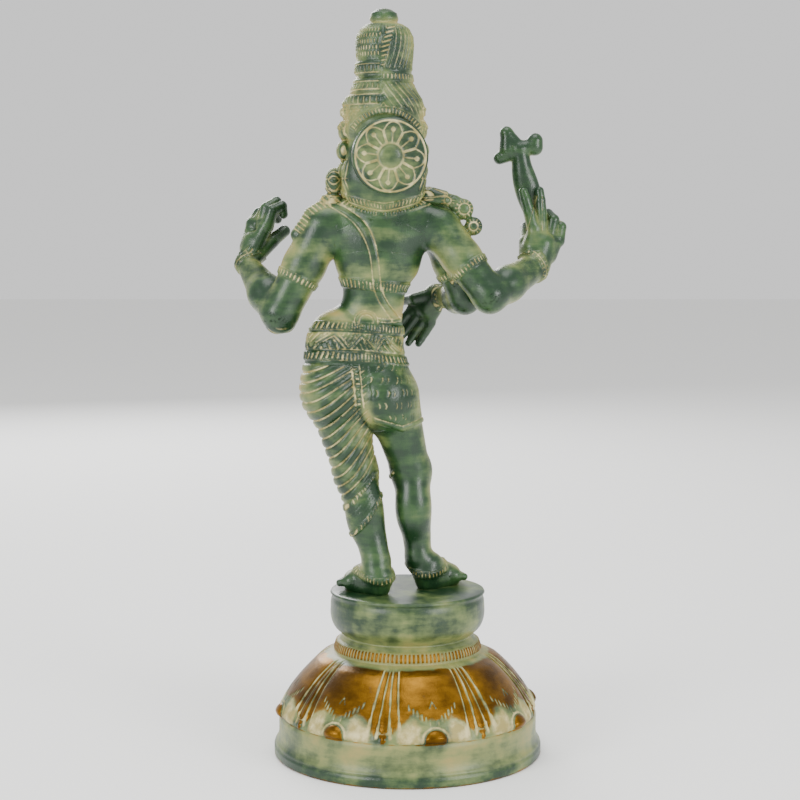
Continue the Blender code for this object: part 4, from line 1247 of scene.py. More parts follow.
@dataclass
class FigurePiece:
    """One finely meshed piece of the standing figure.

    Attributes:
        name: The piece's name.
        voxel: Size of its mesh, in mm.
        drawn: Groups that its rough mesh is made of.
        methods: The methods that chase it.
        dropped: Says which vertices lie beyond the piece, where the next one takes over.
        felt: Groups whose smooth skin it is drawn onto, where they aren't just the drawn ones.
        passes: How many times it is drawn onto the smooth skin.
    """

    name: str
    voxel: float
    drawn: Sequence[str]
    methods: Sequence[Callable[[Chasing], None]]
    dropped: Cut | None = None
    felt: Sequence[str] = ()
    passes: int = 3

    def rough(self, figure: Figure) -> bpy.types.Mesh:
        """Return one mesh of all the masses, each a closed body, still overlapping.

        Args:
            figure: The masses of the whole figure.

        Returns:
            One mesh of all the masses, each a closed body, still overlapping.
        """
        whole = bmesh.new()
        part = bpy.data.meshes.new("mass")
        for name in self.drawn:
            for mass in figure.groups[name].masses:
                shape = bmesh.new()
                mass.add_rough(shape)
                shape.to_mesh(part)
                shape.free()
                whole.from_mesh(part)
        bpy.data.meshes.remove(part)
        mesh = bpy.data.meshes.new(self.name)
        whole.to_mesh(mesh)
        whole.free()
        return mesh

    def trim(self, mesh: bpy.types.Mesh) -> None:
        """Drop what lies beyond the piece and close the hole.

        Args:
            mesh: The piece's mesh.
        """
        if self.dropped is None:
            return
        points, _ = vertex_arrays(mesh)
        gone = np.flatnonzero(self.dropped(points))
        shape = bmesh.new()
        shape.from_mesh(mesh)
        shape.verts.ensure_lookup_table()
        bmesh.ops.delete(shape, geom=[shape.verts[number] for number in gone], context="VERTS")
        open_edges = [edge for edge in shape.edges if edge.is_boundary]
        bmesh.ops.holes_fill(shape, edges=open_edges, sides=0)
        shape.to_mesh(mesh)
        shape.free()

    def thin(self, thing: bpy.types.Object) -> None:
        """Merge the flattest triangles until the piece keeps to its number of them.

        Args:
            thing: The piece's object.
        """
        thing.data.calc_loop_triangles()
        count = len(thing.data.loop_triangles)
        if count <= MOST_TRIANGLES:
            return
        decimate = thing.modifiers.new("Thin", "DECIMATE")
        decimate.ratio = MOST_TRIANGLES / count
        apply_modifiers(thing)

    def build(self, figure: Figure) -> bpy.types.Object:
        """Return the finished piece, chased and in its place.

        Args:
            figure: The masses of the whole figure.

        Returns:
            The finished piece, chased and in its place.
        """
        thing = new_object(self.name, self.rough(figure))
        remesh = thing.modifiers.new("Skin", "REMESH")
        remesh.mode = "VOXEL"
        remesh.voxel_size = self.voxel
        apply_modifiers(thing)
        mesh = thing.data
        self.trim(mesh)
        most, share = 2.0, 0.85  # longest step in mm, and how much of the gap one pass closes
        for _ in range(self.passes):
            points, normals = vertex_arrays(mesh)
            gap = np.clip(figure.distance(points, self.felt or self.drawn), -most, most)
            move_vertices(mesh, points - share * gap[:, None] * normals)
        points, normals = vertex_arrays(mesh)
        relief = Chasing(points)
        for method in self.methods:
            method(relief)
        move_vertices(mesh, points + relief.height[:, None] * normals)
        dress_skin(mesh, relief)
        self.thin(thing)
        thing.data.transform(Matrix.Translation((0, 0, PEDESTAL_HEIGHT * MILLIMETRE)) @ TO_METRES)
        thing.data.shade_smooth()
        return thing


def turned_mesh(name: str, outline: Sequence[tuple[float, float]], segments: int) -> bpy.types.Mesh:
    """Return a closed solid turned about Z.

    Args:
        name: The mesh's name.
        outline: Radius and height of each point, from the axis to the axis, in mm.
        segments: Number of steps round the axis.

    Returns:
        The mesh, with its faces pointing outwards.
    """
    shape = bmesh.new()
    corners = [shape.verts.new((radius, 0.0, height)) for radius, height in outline]
    for low, high in zip(corners, corners[1:]):
        shape.edges.new((low, high))
    bmesh.ops.spin(
        shape,
        geom=shape.verts[:] + shape.edges[:],
        axis=(0, 0, 1),
        cent=(0, 0, 0),
        angle=2.0 * math.pi,
        steps=segments,
        use_merge=True,
    )
    bmesh.ops.remove_doubles(shape, verts=shape.verts, dist=1e-3)
    bmesh.ops.recalc_face_normals(shape, faces=shape.faces)
    mesh = bpy.data.meshes.new(name)
    shape.to_mesh(mesh)
    shape.free()
    return mesh


def filled(outline: Sequence[tuple[float, float]], step: float) -> list[tuple[float, float]]:
    """Return the outline with points added so that no stretch is longer than a step.

    Args:
        outline: Radius and height of each point, in mm.
        step: The longest stretch, in mm.

    Returns:
        The outline with points added so that no stretch is longer than a step.
    """
    points = [outline[0]]
    for low, high in zip(outline, outline[1:]):
        count = max(1, math.ceil(math.dist(low, high) / step))
        for number in range(1, count + 1):
            share = number / count
            points.append((low[0] + share * (high[0] - low[0]), low[1] + share * (high[1] - low[1])))
    return points


@dataclass
class Wheel:
    """The round wheel behind the head, with a rosette of eight petals on its outer face, in mm."""

    radius: float = 22.2
    thickness: float = 13.5
    centre: Triple = (9.8, 33.0, 261.5)
    normal: Triple = (-0.10, 1.0, -0.04)
    petals: int = 8
    segments: int = 288

    def chase(self, relief: Relief) -> None:
        """Chase the rosette: petals with a stamen each, scalloped edge, rim and boss.

        Its places are shares of the wheel's radius, and its lines' widths are in mm.

        Args:
            relief: The skin that is chased.
        """
        reach = np.hypot(relief.x, relief.y) / self.radius
        bearing = np.arctan2(relief.x, -relief.y)
        pitch = 2.0 * math.pi / self.petals
        turned = np.mod(bearing + 0.5 * pitch, pitch) - 0.5 * pitch
        aside = np.abs(turned) * reach * self.radius
        face = relief.z > -0.05
        half = 0.5 * pitch * reach * self.radius
        rounded = 6.3 * np.sqrt(np.clip(1.0 - ((reach - 0.55) / 0.335) ** 2, 0, 1))
        petal_half = np.minimum(half - 0.35, rounded)
        among = (reach > 0.36) * (reach < 0.89)
        edge = ridge(aside - petal_half, 0.85) * among
        crown = np.hypot(aside, (reach - 0.66) * self.radius)
        scallop = ridge(crown - 5.2, 0.85) * (reach > 0.70) * (reach < 0.93)
        stamen = ridge(aside, 0.95) * (reach > 0.36) * (reach < 0.68)
        bulb = np.clip((1.9 - np.hypot(aside, (reach - 0.70) * self.radius)) / 0.5, 0, 1)
        collar = ridge(reach - 0.34, 0.06)
        rim = ridge(reach - 0.93, 0.042)
        boss = np.sqrt(np.clip(1.0 - (reach / 0.28) ** 2, 0, 1))
        raised = np.maximum.reduce([edge, scallop, stamen, bulb, collar])
        relief.lift(raised * face, 0.65)
        relief.lift(rim * face, 0.6)
        relief.lift(boss * face, 1.5)
        shares = ((edge, 0.7), (scallop, 0.74), (stamen, 0.6), (bulb, 0.64), (collar, 0.6), (rim, 0.85))
        pale = np.maximum.reduce([line * share for line, share in shares])
        relief.wash = pale * face
        relief.stain -= 0.55 * face

    def build(self) -> bpy.types.Object:
        """Return the finished wheel, in its place behind the head."""
        front = [(0.0, -self.thickness), (self.radius * 0.97, -self.thickness)]
        barrel = [front[-1], (self.radius, -0.85 * self.thickness), (self.radius, -0.5)]
        face = [barrel[-1], (self.radius - 0.45, 0.0), (0.0, 0.0)]
        outline = filled(front, 6.0) + filled(barrel, 1.5)[1:] + filled(face, 0.38)[1:]
        mesh = turned_mesh("wheel", outline, self.segments)
        points, _ = vertex_arrays(mesh)
        relief = Relief(points)
        self.chase(relief)
        points[:, 2] += relief.height
        move_vertices(mesh, points)
        dress_skin(mesh, relief, 0.3, 0.0)
        turn = Vector((0, 0, 1)).rotation_difference(Vector(self.normal)).to_matrix().to_4x4()
        stand = Matrix.Translation((0, 0, PEDESTAL_HEIGHT)) @ Matrix.Translation(self.centre) @ turn
        mesh.transform(TO_METRES @ stand)
        mesh.shade_smooth()
        return new_object("wheel", mesh)


@dataclass
class Pedestal:
    """The turned pedestal: flange, band, lotus dome, collar of strokes, waist and slab, in mm."""

    flange_radius: float = 82.0
    flange_height: float = 6.8
    band_radius: float = 79.0
    band_height: float = 18.2
    dome_top_radius: float = 45.5
    dome_height: float = 38.0
    collar_radius: float = 40.5
    collar_height: float = 9.0
    slab_radius: float = 47.3
    slab_height: float = 28.5
    edge: float = 1.5
    groove: float = 1.2
    petals: int = 8
    first_petal: float = math.radians(12.0)
    knob: float = 6.6
    segments: int = 640
    hidden_step: float = 20.0  # this and the next four: longest stretch of the outline without a point
    plain_step: float = 2.2
    chased_step: float = 0.95
    slab_step: float = 1.3
    top_step: float = 5.0

    def levels(self) -> Triple:
        """Return the heights at which the dome, the collar and the slab's waist begin."""
        foot = self.flange_height + self.band_height
        collar_foot = foot + self.dome_height
        return foot, collar_foot, collar_foot + self.collar_height

    def dome(self, steps: int = 30) -> list[tuple[float, float]]:
        """Return the bell-shaped dome, from its foot up to its top.

        Args:
            steps: Number of points above its foot.

        Returns:
            The bell-shaped dome, from its foot up to its top.
        """
        foot = self.levels()[0]
        fullness = 1.32
        widest = self.band_radius - 0.6 * self.edge
        points = [(widest, foot)]
        for step in range(1, steps + 1):
            climb = math.sin(0.5 * math.pi * step / steps)
            reach = (1.0 - climb**fullness) ** (1.0 / fullness)
            radius = self.dome_top_radius + (widest - self.dome_top_radius) * reach
            points.append((radius, foot + self.dome_height * climb))
        return points

    def outline(self) -> list[tuple[float, float]]:
        """Return half the section, from the middle of the underside to the middle of the top."""
        flange, band, edge, groove = self.flange_radius, self.band_radius, self.edge, self.groove
        foot, collar_foot, slab_foot = self.levels()
        top = slab_foot + self.slab_height
        cove = flange - band
        lower = [
            (0.0, 0.0),
            (flange - 0.6 * edge, 0.0),
            (flange, 0.6 * edge),
            (flange, self.flange_height - groove),
            (flange - 0.8 * groove, self.flange_height - 0.4 * groove),
            (flange - 0.15 * cove, self.flange_height + 0.2 * groove),
            (band + 0.3 * cove, self.flange_height + 0.15 * self.band_height),
            (band, self.flange_height + 0.36 * self.band_height),
            (band, foot - 0.6 * edge),
        ]
        waist = self.collar_radius - groove
        upper = [
            (self.dome_top_radius - groove, collar_foot + 0.5 * groove),
            (self.dome_top_radius - 1.6, collar_foot + 0.30 * self.collar_height),
            (self.dome_top_radius - 2.6, collar_foot + 0.62 * self.collar_height),
            (self.collar_radius, slab_foot),
            (waist, slab_foot + groove),
        ]
        bulge = self.slab_height * 0.55
        steps = 12
        for step in range(1, steps + 1):
            angle = math.radians(-60.0 + 60.0 * step / steps)
            reach = (self.slab_radius - waist) * math.cos(angle)
            upper.append((waist + reach, slab_foot + bulge + bulge * 0.80 * math.sin(angle)))
        upper += [
            (self.slab_radius - 0.3, top - 5.2 * groove),
            (self.slab_radius - groove, top - 1.9 * edge),
            (self.slab_radius, top - 0.9 * edge),
            (self.slab_radius - 0.35 * edge, top - 0.2 * edge),
            (self.slab_radius - edge, top),
        ]
        underside = filled(lower[:3], self.hidden_step)
        wall = filled(lower[2:], self.plain_step)[1:]
        dome = filled(self.dome(), self.chased_step)
        rim = filled([dome[-1], *upper], self.slab_step)[1:]
        return underside + wall + dome + rim + filled([upper[-1], (0.0, top)], self.top_step)[1:]

    def chase(self, relief: Relief) -> None:
        """Chase petals, sepals, curled tips and flecks on the dome, and strokes on the collar.

        Args:
            relief: The skin that is chased.
        """
        x, y, z = relief.points.T
        bearing = np.arctan2(-x, y)
        radius = np.hypot(x, y)
        foot = self.levels()[0]
        climb = (z - foot) / self.dome_height
        on_dome = (climb > 0.002) * (climb < 1.0) * (radius > self.dome_top_radius - 1.0)
        half_pitch = math.pi / self.petals
        turned = np.mod(bearing - self.first_petal + half_pitch, 2.0 * half_pitch) - half_pitch
        share = np.abs(turned) / half_pitch
        aside = turned * radius
        self.stained(relief, radius)
        inner = self.petal_lines(relief, share, climb, half_pitch * radius, on_dome)
        self.sepal_tips(relief, (1.0 - share) * half_pitch * radius, on_dome)
        knob = np.hypot(aside, (z - foot - 1.6) * 1.15)
        ball = np.sqrt(np.clip(1.0 - (knob / self.knob) ** 2, 0, 1)) * (z > foot + 0.1)
        relief.lift(ball, 2.8)
        relief.rub(np.clip((self.knob - knob) / 0.7, 0, 1) * (z > foot - 0.5))
        halo = ridge(knob - self.knob - 1.0, 0.9) * on_dome
        relief.lift(halo, 0.5)
        low = ramp(climb + 0.05 * np.cos(9.0 * turned / half_pitch), 0.42, 0.16)
        pool = low * plateau(share - 0.50, 0.34, 0.22) * on_dome
        pool *= 1.0 - np.clip((self.knob + 0.4 - knob) / 0.7, 0, 1)
        relief.wash = np.maximum(relief.wash, np.maximum(halo, 0.95 * pool))
        self.flecks(relief, aside, inner * on_dome)
        rubbed = on_dome * ramp(climb - 0.10 * np.cos(math.pi * share), 0.06, 0.28) * ramp(climb, 1.0, 0.92)
        relief.rub(0.88 * rubbed * (1.0 - relief.wash))
        self.collar(relief, bearing, radius)
        seam = ridge(z - foot + 0.3, 0.7) * (radius > self.band_radius - 4)
        relief.rub(0.8 * seam)

    def petal_lines(self, relief: Relief, share: Array, climb: Array, half: Array, on_dome: Array) -> Array:
        """Raise the petals, the sepals between them and the pale lines along both.

        Args:
            relief: The pedestal's relief.
            share: 0 on a petal's middle line, 1 half way to the next.
            climb: 0 at the dome's foot, 1 at its top.
            half: Half the distance from petal to petal, in mm.
            on_dome: 1 on the dome, 0 elsewhere.

        Returns:
            1 inside the petals, 0 between them.
        """
        from_gap = (1.0 - share) * half
        petal_edge = half * (0.35 - 0.14 * np.clip(climb, 0, 1) ** 0.8)
        sepal_edge = half * (0.16 - 0.11 * np.clip(climb, 0, 1) ** 0.6)
        fade = ramp(climb, 1.0, 0.86) * ramp(climb, 0.0, 0.06) * on_dome
        inner = np.clip(from_gap - petal_edge, 0, 1)
        relief.lift(np.sqrt(np.clip(1.0 - (share / 0.80) ** 2, 0, 1)) * inner * fade, 2.0)
        for middle, half_width in ((petal_edge, 0.62), (sepal_edge, 0.55)):
            flared = half_width * (1.0 + 2.0 * ramp(climb, 0.34, 0.06))
            line = ridge(from_gap - middle, flared) * on_dome
            line *= ramp(climb, 0.03, 0.09) * ramp(climb, 0.99, 0.93)
            relief.lift(line, 0.75)
            relief.wash = np.maximum(relief.wash, line)
        sepal = np.clip(1.0 - (from_gap / np.maximum(sepal_edge, 0.3)) ** 2, 0, 1)
        relief.lift(sepal * fade * ramp(climb, 0.10, 0.2), 0.8)
        return inner

    def sepal_tips(self, relief: Relief, from_gap: Array, on_dome: Array) -> None:
        """Curl a pale line round the foot of each sepal, over two bright beads.

        Args:
            relief: The pedestal's relief.
            from_gap: Distance from the line between two petals, in mm.
            on_dome: 1 on the dome, 0 elsewhere.
        """
        height = relief.z - self.levels()[0]
        curl = ridge(np.hypot(from_gap, (height - 8.6) * 1.1) - 3.9, 0.65) * (height < 8.8) * on_dome
        relief.lift(curl, 0.8)
        relief.wash = np.maximum(relief.wash, curl)
        for middle, size in ((4.2, 2.4), (1.6, 1.9)):
            bead = np.hypot(from_gap, (height - middle) * 1.2)
            relief.lift(np.sqrt(np.clip(1.0 - (bead / size) ** 2, 0, 1)) * on_dome, 0.9)
            relief.rub(np.clip((size - bead) / 0.5, 0, 1) * on_dome)

    def stained(self, relief: Relief, radius: Array) -> None:
        """Leave the wash thinly over the slab, the collar, the band and the flange.

        Args:
            relief: The pedestal's relief.
            radius: Distance from the axis, in mm.
        """
        z = relief.z
        foot, top, slab_foot = self.levels()
        on_slab = ramp(z, slab_foot - 8.0, slab_foot + 4.0)
        wall = ramp(radius, 0.5 * self.slab_radius, 0.9 * self.slab_radius)
        relief.stain += on_slab * (0.18 * wall + 0.15 * (1.0 - wall))
        relief.stain += 0.34 * ramp(z, foot + 1.0, foot - 1.0) * ramp(z, 4.0, 8.0)
        relief.stain += 0.25 * ramp(z, 6.0, 3.0)
        relief.stain += 0.40 * ramp(z, top - 4.0, top - 1.0) * ramp(z, slab_foot - 1.0, slab_foot - 4.0)
        relief.rub(0.7 * ramp(z, 1.6, 0.8) * (radius > self.flange_radius - 2.0))

    def flecks(self, relief: Relief, aside: Array, where: Array) -> None:
        """Chase rows of short strokes that meet in a V on each petal.

        Args:
            relief: The pedestal's relief.
            aside: Distance from the petal's middle line, in mm.
            where: 1 inside the petals, 0 elsewhere.
        """
        height = relief.z - self.levels()[0]
        for number in range(6):
            reach = 2.4 + 2.2 * number
            level = 10.5 + 1.5 * number + 0.5 * (number % 2)
            stroke = ridge(np.abs(aside) - reach, 0.62) * plateau(height - level, 1.9, 0.5)
            relief.cut(stroke * where, 0.35, 0.9)
        peak = ridge(np.abs(aside) * 1.8 + height - 21.1, 0.9) * (height > 17.6) * (height < 21.5)
        relief.cut(peak * where, 0.3, 0.8)

    def collar(self, relief: Relief, bearing: Array, radius: Array) -> None:
        """Chase the ring of upright strokes under the waist, and rub its ridges bright.

        Args:
            relief: The pedestal's relief.
            bearing: Angle round the axis.
            radius: Distance from the axis, in mm.
        """
        from_middle = relief.z - self.levels()[1] - 3.6
        ring = plateau(from_middle, 3.3, 1.2) * (radius > self.collar_radius - 1.0)
        relief.lift(np.sqrt(ring), 1.3)
        strokes = ticks(bearing * 43.0, 2.45, 0.42) * plateau(from_middle, 2.5, 0.5) * (radius > 39)
        relief.cut(strokes, 0.85, 0.0)
        relief.rub(ring * (1.0 - strokes) * 0.8)

    def build(self) -> bpy.types.Object:
        """Return the finished pedestal."""
        mesh = turned_mesh("pedestal", self.outline(), self.segments)
        points, normals = vertex_arrays(mesh)
        relief = Relief(points)
        self.chase(relief)
        move_vertices(mesh, points + relief.height[:, None] * normals)
        dress_skin(mesh, relief, 0.4, 0.0)
        mesh.transform(TO_METRES)
        mesh.shade_smooth()
        return new_object("pedestal", mesh)


def linear(code: str) -> tuple[float, float, float, float]:
    """Turn an sRGB hex colour to a linear one with full alpha.

    Args:
        code: The colour, as # and six digits.

    Returns:
        Its linear red, green and blue, with full alpha.
    """
    parts = [int(code[place : place + 2], 16) / 255.0 for place in (1, 3, 5)]
    parts = [part / 12.92 if part <= 0.04045 else ((part + 0.055) / 1.055) ** 2.4 for part in parts]
    return parts[0], parts[1], parts[2], 1.0


def add_node(
    tree: bpy.types.NodeTree, kind: str, output: Any, inputs: dict[Any, Any], **settings: Any
) -> Any:
    """Add a node to a material and return one of its outputs.

    Args:
        tree: The material's nodes.
        kind: The node's type.
        output: Name or number of the output that is wanted.
        inputs: A socket, number, vector or hex colour for each input, by name or number.
        **settings: The node's own properties.

    Returns:
        The output socket.
    """
    node = tree.nodes.new(kind)
    for name, value in settings.items():
        setattr(node, name, value)
    for place, value in inputs.items():
        if isinstance(value, bpy.types.NodeSocket):
            tree.links.new(value, node.inputs[place])
        else:
            node.inputs[place].default_value = linear(value) if isinstance(value, str) else value
    return node.outputs[output]


@dataclass(frozen=True)
class PatinatedBrass:
    """Cast and chased brass, painted green and cream, waxed, and rubbed bare in places.

    The green lies thick on the plain forms and breaks up in soft blotches, the cream has settled in the
    chased lines, and wax gives the whole a satin gloss with soft bright highlights. The grey green and the
    ochre also come up on the flanks that the camera sees edge-on, as a painted sheen. The sizes are those
    of the blotches, of the brush's strokes and of the casting's grain, in mm. The grain is drawn coarser
    than the real one, which would be too fine to show.
    """

    name: str = "patinated brass, cast, painted and waxed"
    deep_green: str = "#0d2c13"
    mid_green: str = "#2b4a23"
    grey_green: str = "#717c48"
    ochre: str = "#93864a"
    cream: str = "#c9bd88"
    brown_brass: str = "#4e340a"
    bright_brass: str = "#9a6e1e"
    blotch: float = 26.0
    mottle: float = 8.0
    stroke: float = 11.0
    speck: float = 2.2
    grain: float = 0.7

    def coat(
        self, tree: bpy.types.NodeTree, under: Any, over: Any, pattern: Any, low: float, high: float
    ) -> Any:
        """Return a colour that a coat covers softly where a pattern climbs.

        Args:
            tree: The material's nodes.
            under: The colour below, a hex code or a socket.
            over: The coat's colour.
            pattern: The pattern that the coat follows.
            low: Value of the pattern at which the coat begins.
            high: Value at which it covers all.

        Returns:
            The colour's socket.
        """
        limits = {"Value": pattern, "From Min": low, "From Max": high}
        share = add_node(tree, "ShaderNodeMapRange", "Result", limits, interpolation_type="SMOOTHSTEP")
        return add_node(tree, "ShaderNodeMix", 2, {0: share, 6: under, 7: over}, data_type="RGBA")

    def weighed(self, tree: bpy.types.NodeTree, start: float, parts: Sequence[tuple[Any, float]]) -> Any:
        """Return a start value with patterns added to it, each by its weight.

        Args:
            tree: The material's nodes.
            start: The value to begin with.
            parts: Each pattern's socket and its weight.

        Returns:
            The sum's socket.
        """
        total: Any = start
        for pattern, weight in parts:
            inputs = {0: pattern, 1: weight, 2: total}
            total = add_node(tree, "ShaderNodeMath", 0, inputs, operation="MULTIPLY_ADD")
        return total

    def make(self) -> bpy.types.Material:
        """Return the material."""
        material = bpy.data.materials.new(self.name)
        material.use_nodes = True
        tree = material.node_tree
        where = add_node(tree, "ShaderNodeTexCoord", "Object", {})
        drawn = add_node(tree, "ShaderNodeMapping", 0, {"Vector": where, "Scale": (0.4, 0.4, 1.9)})
        wash, smear, hollow, bare, edge = (
            add_node(tree, "ShaderNodeAttribute", "Fac", {}, attribute_name=name)
            for name in ("wash", "smear", "hollow", "bare", "edge")
        )
        patterns = (
            (where, self.blotch, 3.0, 0.5),
            (where, self.mottle, 5.0, 0.55),
            (drawn, self.stroke, 5.0, 0.6),
            (where, self.speck, 3.0, 0.6),
            (where, self.grain, 2.0, 0.5),
        )
        blotch, mottle, brushed, speck, grain = (
            add_node(
                tree,
                "ShaderNodeTexNoise",
                "Fac",
                {"Vector": place, "Scale": 1.0 / (size * MILLIMETRE), "Detail": detail, "Roughness": rough},
            )
            for place, size, detail, rough in patterns
        )
        clouds = self.weighed(tree, -0.15, ((blotch, 0.55), (mottle, 0.35), (brushed, 0.40)))
        # settled: blotches, smear and the hollow attribute, so it carries the real wash and the painted sheen
        # on the flanks
        settled = self.weighed(tree, 0.0, ((clouds, 0.85), (smear, 0.36), (hollow, 0.55)))
        worn = self.weighed(tree, 0.0, ((wash, 1.0), (speck, 0.4)))
        patchy = self.weighed(tree, 0.0, ((bare, 1.0), (mottle, 0.9)))
        green = self.coat(tree, self.deep_green, self.mid_green, clouds, 0.42, 0.62)
        # these two coats are the settled wash and, on the flanks seen edge-on, a painted sheen
        green = self.coat(tree, green, self.grey_green, settled, 0.61, 0.90)
        green = self.coat(tree, green, self.ochre, settled, 0.76, 1.05)
        pale = self.coat(tree, self.ochre, self.cream, mottle, 0.38, 0.66)
        paint = self.coat(tree, green, pale, worn, 0.50, 1.05)
        brass = self.coat(tree, self.brown_brass, self.bright_brass, clouds, 0.32, 0.78)
        line, rubbed, glint = (
            add_node(
                tree,
                "ShaderNodeMapRange",
                "Result",
                {"Value": pattern, "From Min": low, "From Max": high},
                interpolation_type="SMOOTHSTEP",
            )
            for pattern, low, high in ((worn, 0.50, 1.05), (patchy, 0.90, 1.20), (mottle, 0.52, 0.68))
        )
        unlined = add_node(tree, "ShaderNodeMath", 0, {0: 1.0, 1: line}, operation="SUBTRACT")
        rubbed = add_node(tree, "ShaderNodeMath", 0, {0: rubbed, 1: unlined}, operation="MULTIPLY")
        glint = add_node(tree, "ShaderNodeMath", 0, {0: glint, 1: edge}, operation="MULTIPLY")
        glint = self.weighed(tree, 0.0, ((glint, 0.45),))
        metal = add_node(tree, "ShaderNodeMath", 0, {0: rubbed, 1: glint}, operation="MAXIMUM")
        height = self.weighed(tree, 0.0, ((grain, 1.0), (speck, 1.0)))
        relief = {"Strength": 0.35, "Distance": 0.25 * MILLIMETRE, "Height": height}
        colours = {0: metal, 6: paint, 7: brass}
        shown = {
            "Base Color": add_node(tree, "ShaderNodeMix", 2, colours, data_type="RGBA"),
            "Metallic": self.weighed(tree, 0.0, ((metal, 0.95),)),
            "Roughness": self.weighed(tree, 0.14, ((line, 0.18), (settled, 0.32))),
            "Normal": add_node(tree, "ShaderNodeBump", "Normal", relief),
        }
        shader = tree.nodes["Principled BSDF"]
        for name, socket in shown.items():
            tree.links.new(socket, shader.inputs[name])
        return material


@dataclass(frozen=True)
class PaleStudio:
    """Plain pale floor, soft lights and the camera of the photograph, in metres, degrees and watts."""

    camera_distance: float = 1.0614
    camera_height: float = 0.3145
    camera_pitch: float = 5.27
    lens: float = 78.98
    sensor: float = 36.0
    shift: float = -7.5 / 800.0  # share of the frame's width
    floor_half_width: float = 8.0
    aim: Triple = (0.0, 0.0, 0.22)
    surround_strength: float = 0.95

    def floor(self) -> None:
        """Lay a plain pale floor, which isn't part of the object."""
        shape = bmesh.new()
        bmesh.ops.create_grid(shape, x_segments=1, y_segments=1, size=self.floor_half_width)
        mesh = bpy.data.meshes.new("floor")
        shape.to_mesh(mesh)
        shape.free()
        # Rolled matt paint: even, with no gloss that would mirror the statue
        material = bpy.data.materials.new("matt white paint, rolled")
        material.use_nodes = True
        shader = material.node_tree.nodes["Principled BSDF"]
        shader.inputs["Base Color"].default_value = linear("#f4f4f2")
        shader.inputs["Roughness"].default_value = 0.9
        mesh.materials.append(material)
        new_object("floor", mesh)

    def lights(self) -> None:
        """Light the statue softly from all sides, with a pale surround."""
        for name, place, power, size in (
            ("left softbox", (1.5, 1.5, 0.9), 30.0, 0.9),
            ("right softbox", (-1.4, 1.3, 0.7), 24.0, 0.8),
            ("front softbox", (0.6, -1.8, 1.1), 30.0, 1.0),
            ("overhead softbox", (0.0, 0.3, 1.9), 20.0, 1.2),
        ):
            light = bpy.data.lights.new(name, "AREA")
            light.energy = power
            light.size = size
            lamp = new_object(name, light)
            lamp.location = place
            toward = Vector(self.aim) - Vector(place)
            lamp.rotation_euler = toward.to_track_quat("-Z", "Y").to_euler()
        world = bpy.data.worlds.new("studio")
        bpy.context.scene.world = world
        world.use_nodes = True
        background = world.node_tree.nodes["Background"]
        background.inputs["Color"].default_value = linear("#ffffff")
        background.inputs["Strength"].default_value = self.surround_strength

    def camera(self) -> None:
        """Set the camera behind the statue, as in the photograph."""
        data = bpy.data.cameras.new("camera")
        data.lens = self.lens
        data.sensor_width = self.sensor
        data.shift_x = self.shift
        thing = new_object("camera", data)
        thing.location = (0.0, self.camera_distance, self.camera_height)
        pitch = math.radians(self.camera_pitch)
        toward = Vector((0.0, -math.cos(pitch), -math.sin(pitch)))
        thing.rotation_euler = toward.to_track_quat("-Z", "Y").to_euler()
        bpy.context.scene.camera = thing

    def build(self) -> None:
        """Set up floor, lights and camera."""
        self.floor()
        self.lights()
        self.camera()


class Region(Enum):
    """What a piece keeps of an arm. The value is how far from the arm's axis its cut reaches, in mm."""

    UPPER = 19.0
    LOWER = 21.0


def beyond_armlet(arm: Chain, points: Array, kept: Region, overlap: float = 0.4) -> Array:
    """Return which points lie on the far side of an armlet's middle from what a piece keeps.

    Args:
        arm: The arm's joints.
        points: Places in mm.
        kept: UPPER to keep the shoulder's side, LOWER to keep the hand's side.
        overlap: How far each side runs past the middle, in mm.

    Returns:
        True where a point is to be dropped.
    """
    along, away, _ = limb_frame(points, arm.root, arm.bend)
    length = float(np.linalg.norm(np.subtract(arm.bend, arm.root)))
    past = along - ARMLET_PLACE * length
    if kept is Region.UPPER:
        return (past > overlap) & (away < kept.value) & (along < length)
    return (past < -overlap) & (away < kept.value)


def beyond_trunk(points: Array) -> Array:
    """Return which points of the trunk's rough mesh belong to the arms or the legs.

    Args:
        points: Places in mm.

    Returns:
        True where a point is to be dropped.
    """
    gone = points[:, 2] < TRUNK_FOOT
    for arm in ARMS.values():
        gone |= beyond_armlet(arm, points, Region.UPPER)
    return gone


def beyond_arm(arm: Chain) -> Cut:
    """Return a test for the points of an arm's rough mesh that belong to the trunk."""
    return lambda points: beyond_armlet(arm, points, Region.LOWER)


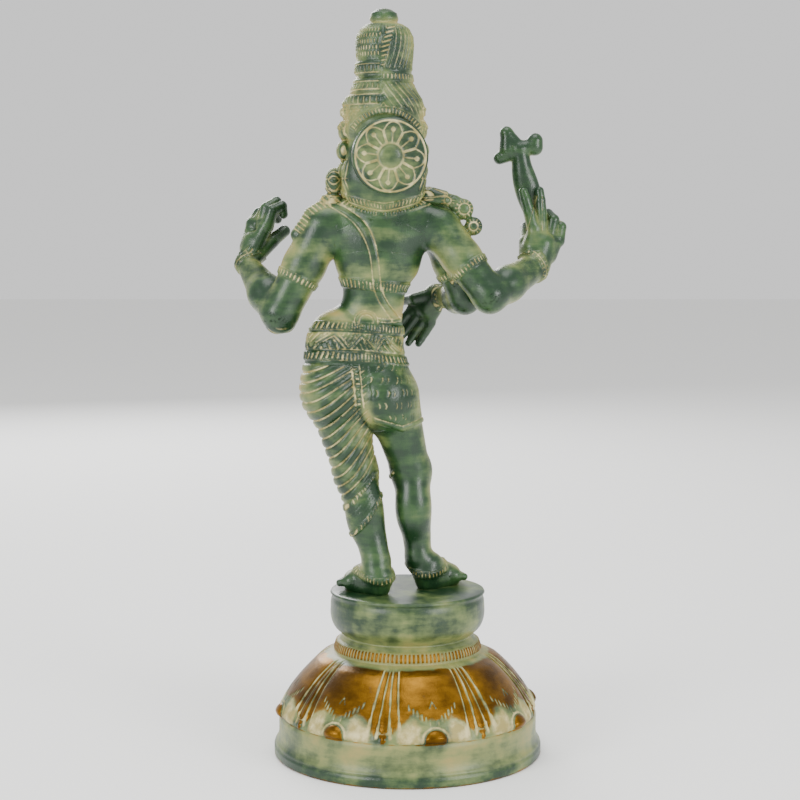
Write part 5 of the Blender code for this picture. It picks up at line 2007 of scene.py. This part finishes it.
def figure_pieces() -> list[FigurePiece]:
    """Return the pieces that the figure is made in."""
    legs = ("left leg", "right leg")
    body = ("torso", "chest", *legs, "left arm", "right arm", "front arm")
    below = ("torso", *legs, "cloth", "left foot", "left toes", "right foot", "right toes")
    head = ("head", "face", "crown", "curls")
    on_legs = (Chasing.belts, Chasing.dress, Chasing.garment, Chasing.anklets)
    on_chest = (Chasing.necklace, Chasing.thread, Chasing.chest_band)
    on_trunk = (*on_chest, Chasing.belts, Chasing.armlets, Chasing.locks)
    on_head = (Chasing.crown, Chasing.arch, Chasing.hair, Chasing.face, Chasing.necklace)
    pieces = [
        FigurePiece("legs_and_dress", 0.60, below, on_legs, lambda points: points[:, 2] > LEGS_TOP),
        FigurePiece("trunk", 0.56, (*body, "locks"), on_trunk, beyond_trunk),
    ]
    for side, name, held, scored in (
        ("left", "left_arm", (), ()),
        ("right", "right_arm_with_axe", ("axe",), (Chasing.axe,)),
        ("front", "front_arm", (), ()),
    ):
        hand = (*held, f"{side} palm", f"{side} fingers")
        on_arm = (Chasing.armlets, Chasing.bracelets, *scored)
        beyond = beyond_arm(ARMS[side])
        pieces.append(FigurePiece(name, 0.56, (f"{side} arm", *hand), on_arm, beyond, (*body, *hand)))
    pieces.append(FigurePiece("head_and_crown", 0.46, head, on_head))
    return pieces


def finish_piece(thing: bpy.types.Object, material: bpy.types.Material) -> None:
    """Dress a piece, tie it to the model, and report it.

    Args:
        thing: The piece's object.
        material: The finish.
    """
    thing.data.materials.clear()
    thing.data.materials.append(material)
    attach(thing, "root")
    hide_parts("statue")
    thing.data.calc_loop_triangles()
    LOG.info("%s: %d triangles", thing.name, len(thing.data.loop_triangles))


def main() -> None:
    """Build every piece of the statue in order, then the studio."""
    brass = PatinatedBrass().make()
    figure = Figure()
    for piece in figure_pieces():
        finish_piece(piece.build(figure), brass)
    finish_piece(Wheel().build(), brass)
    finish_piece(Pedestal().build(), brass)
    PaleStudio().build()


if __name__ == "__main__":
    main()
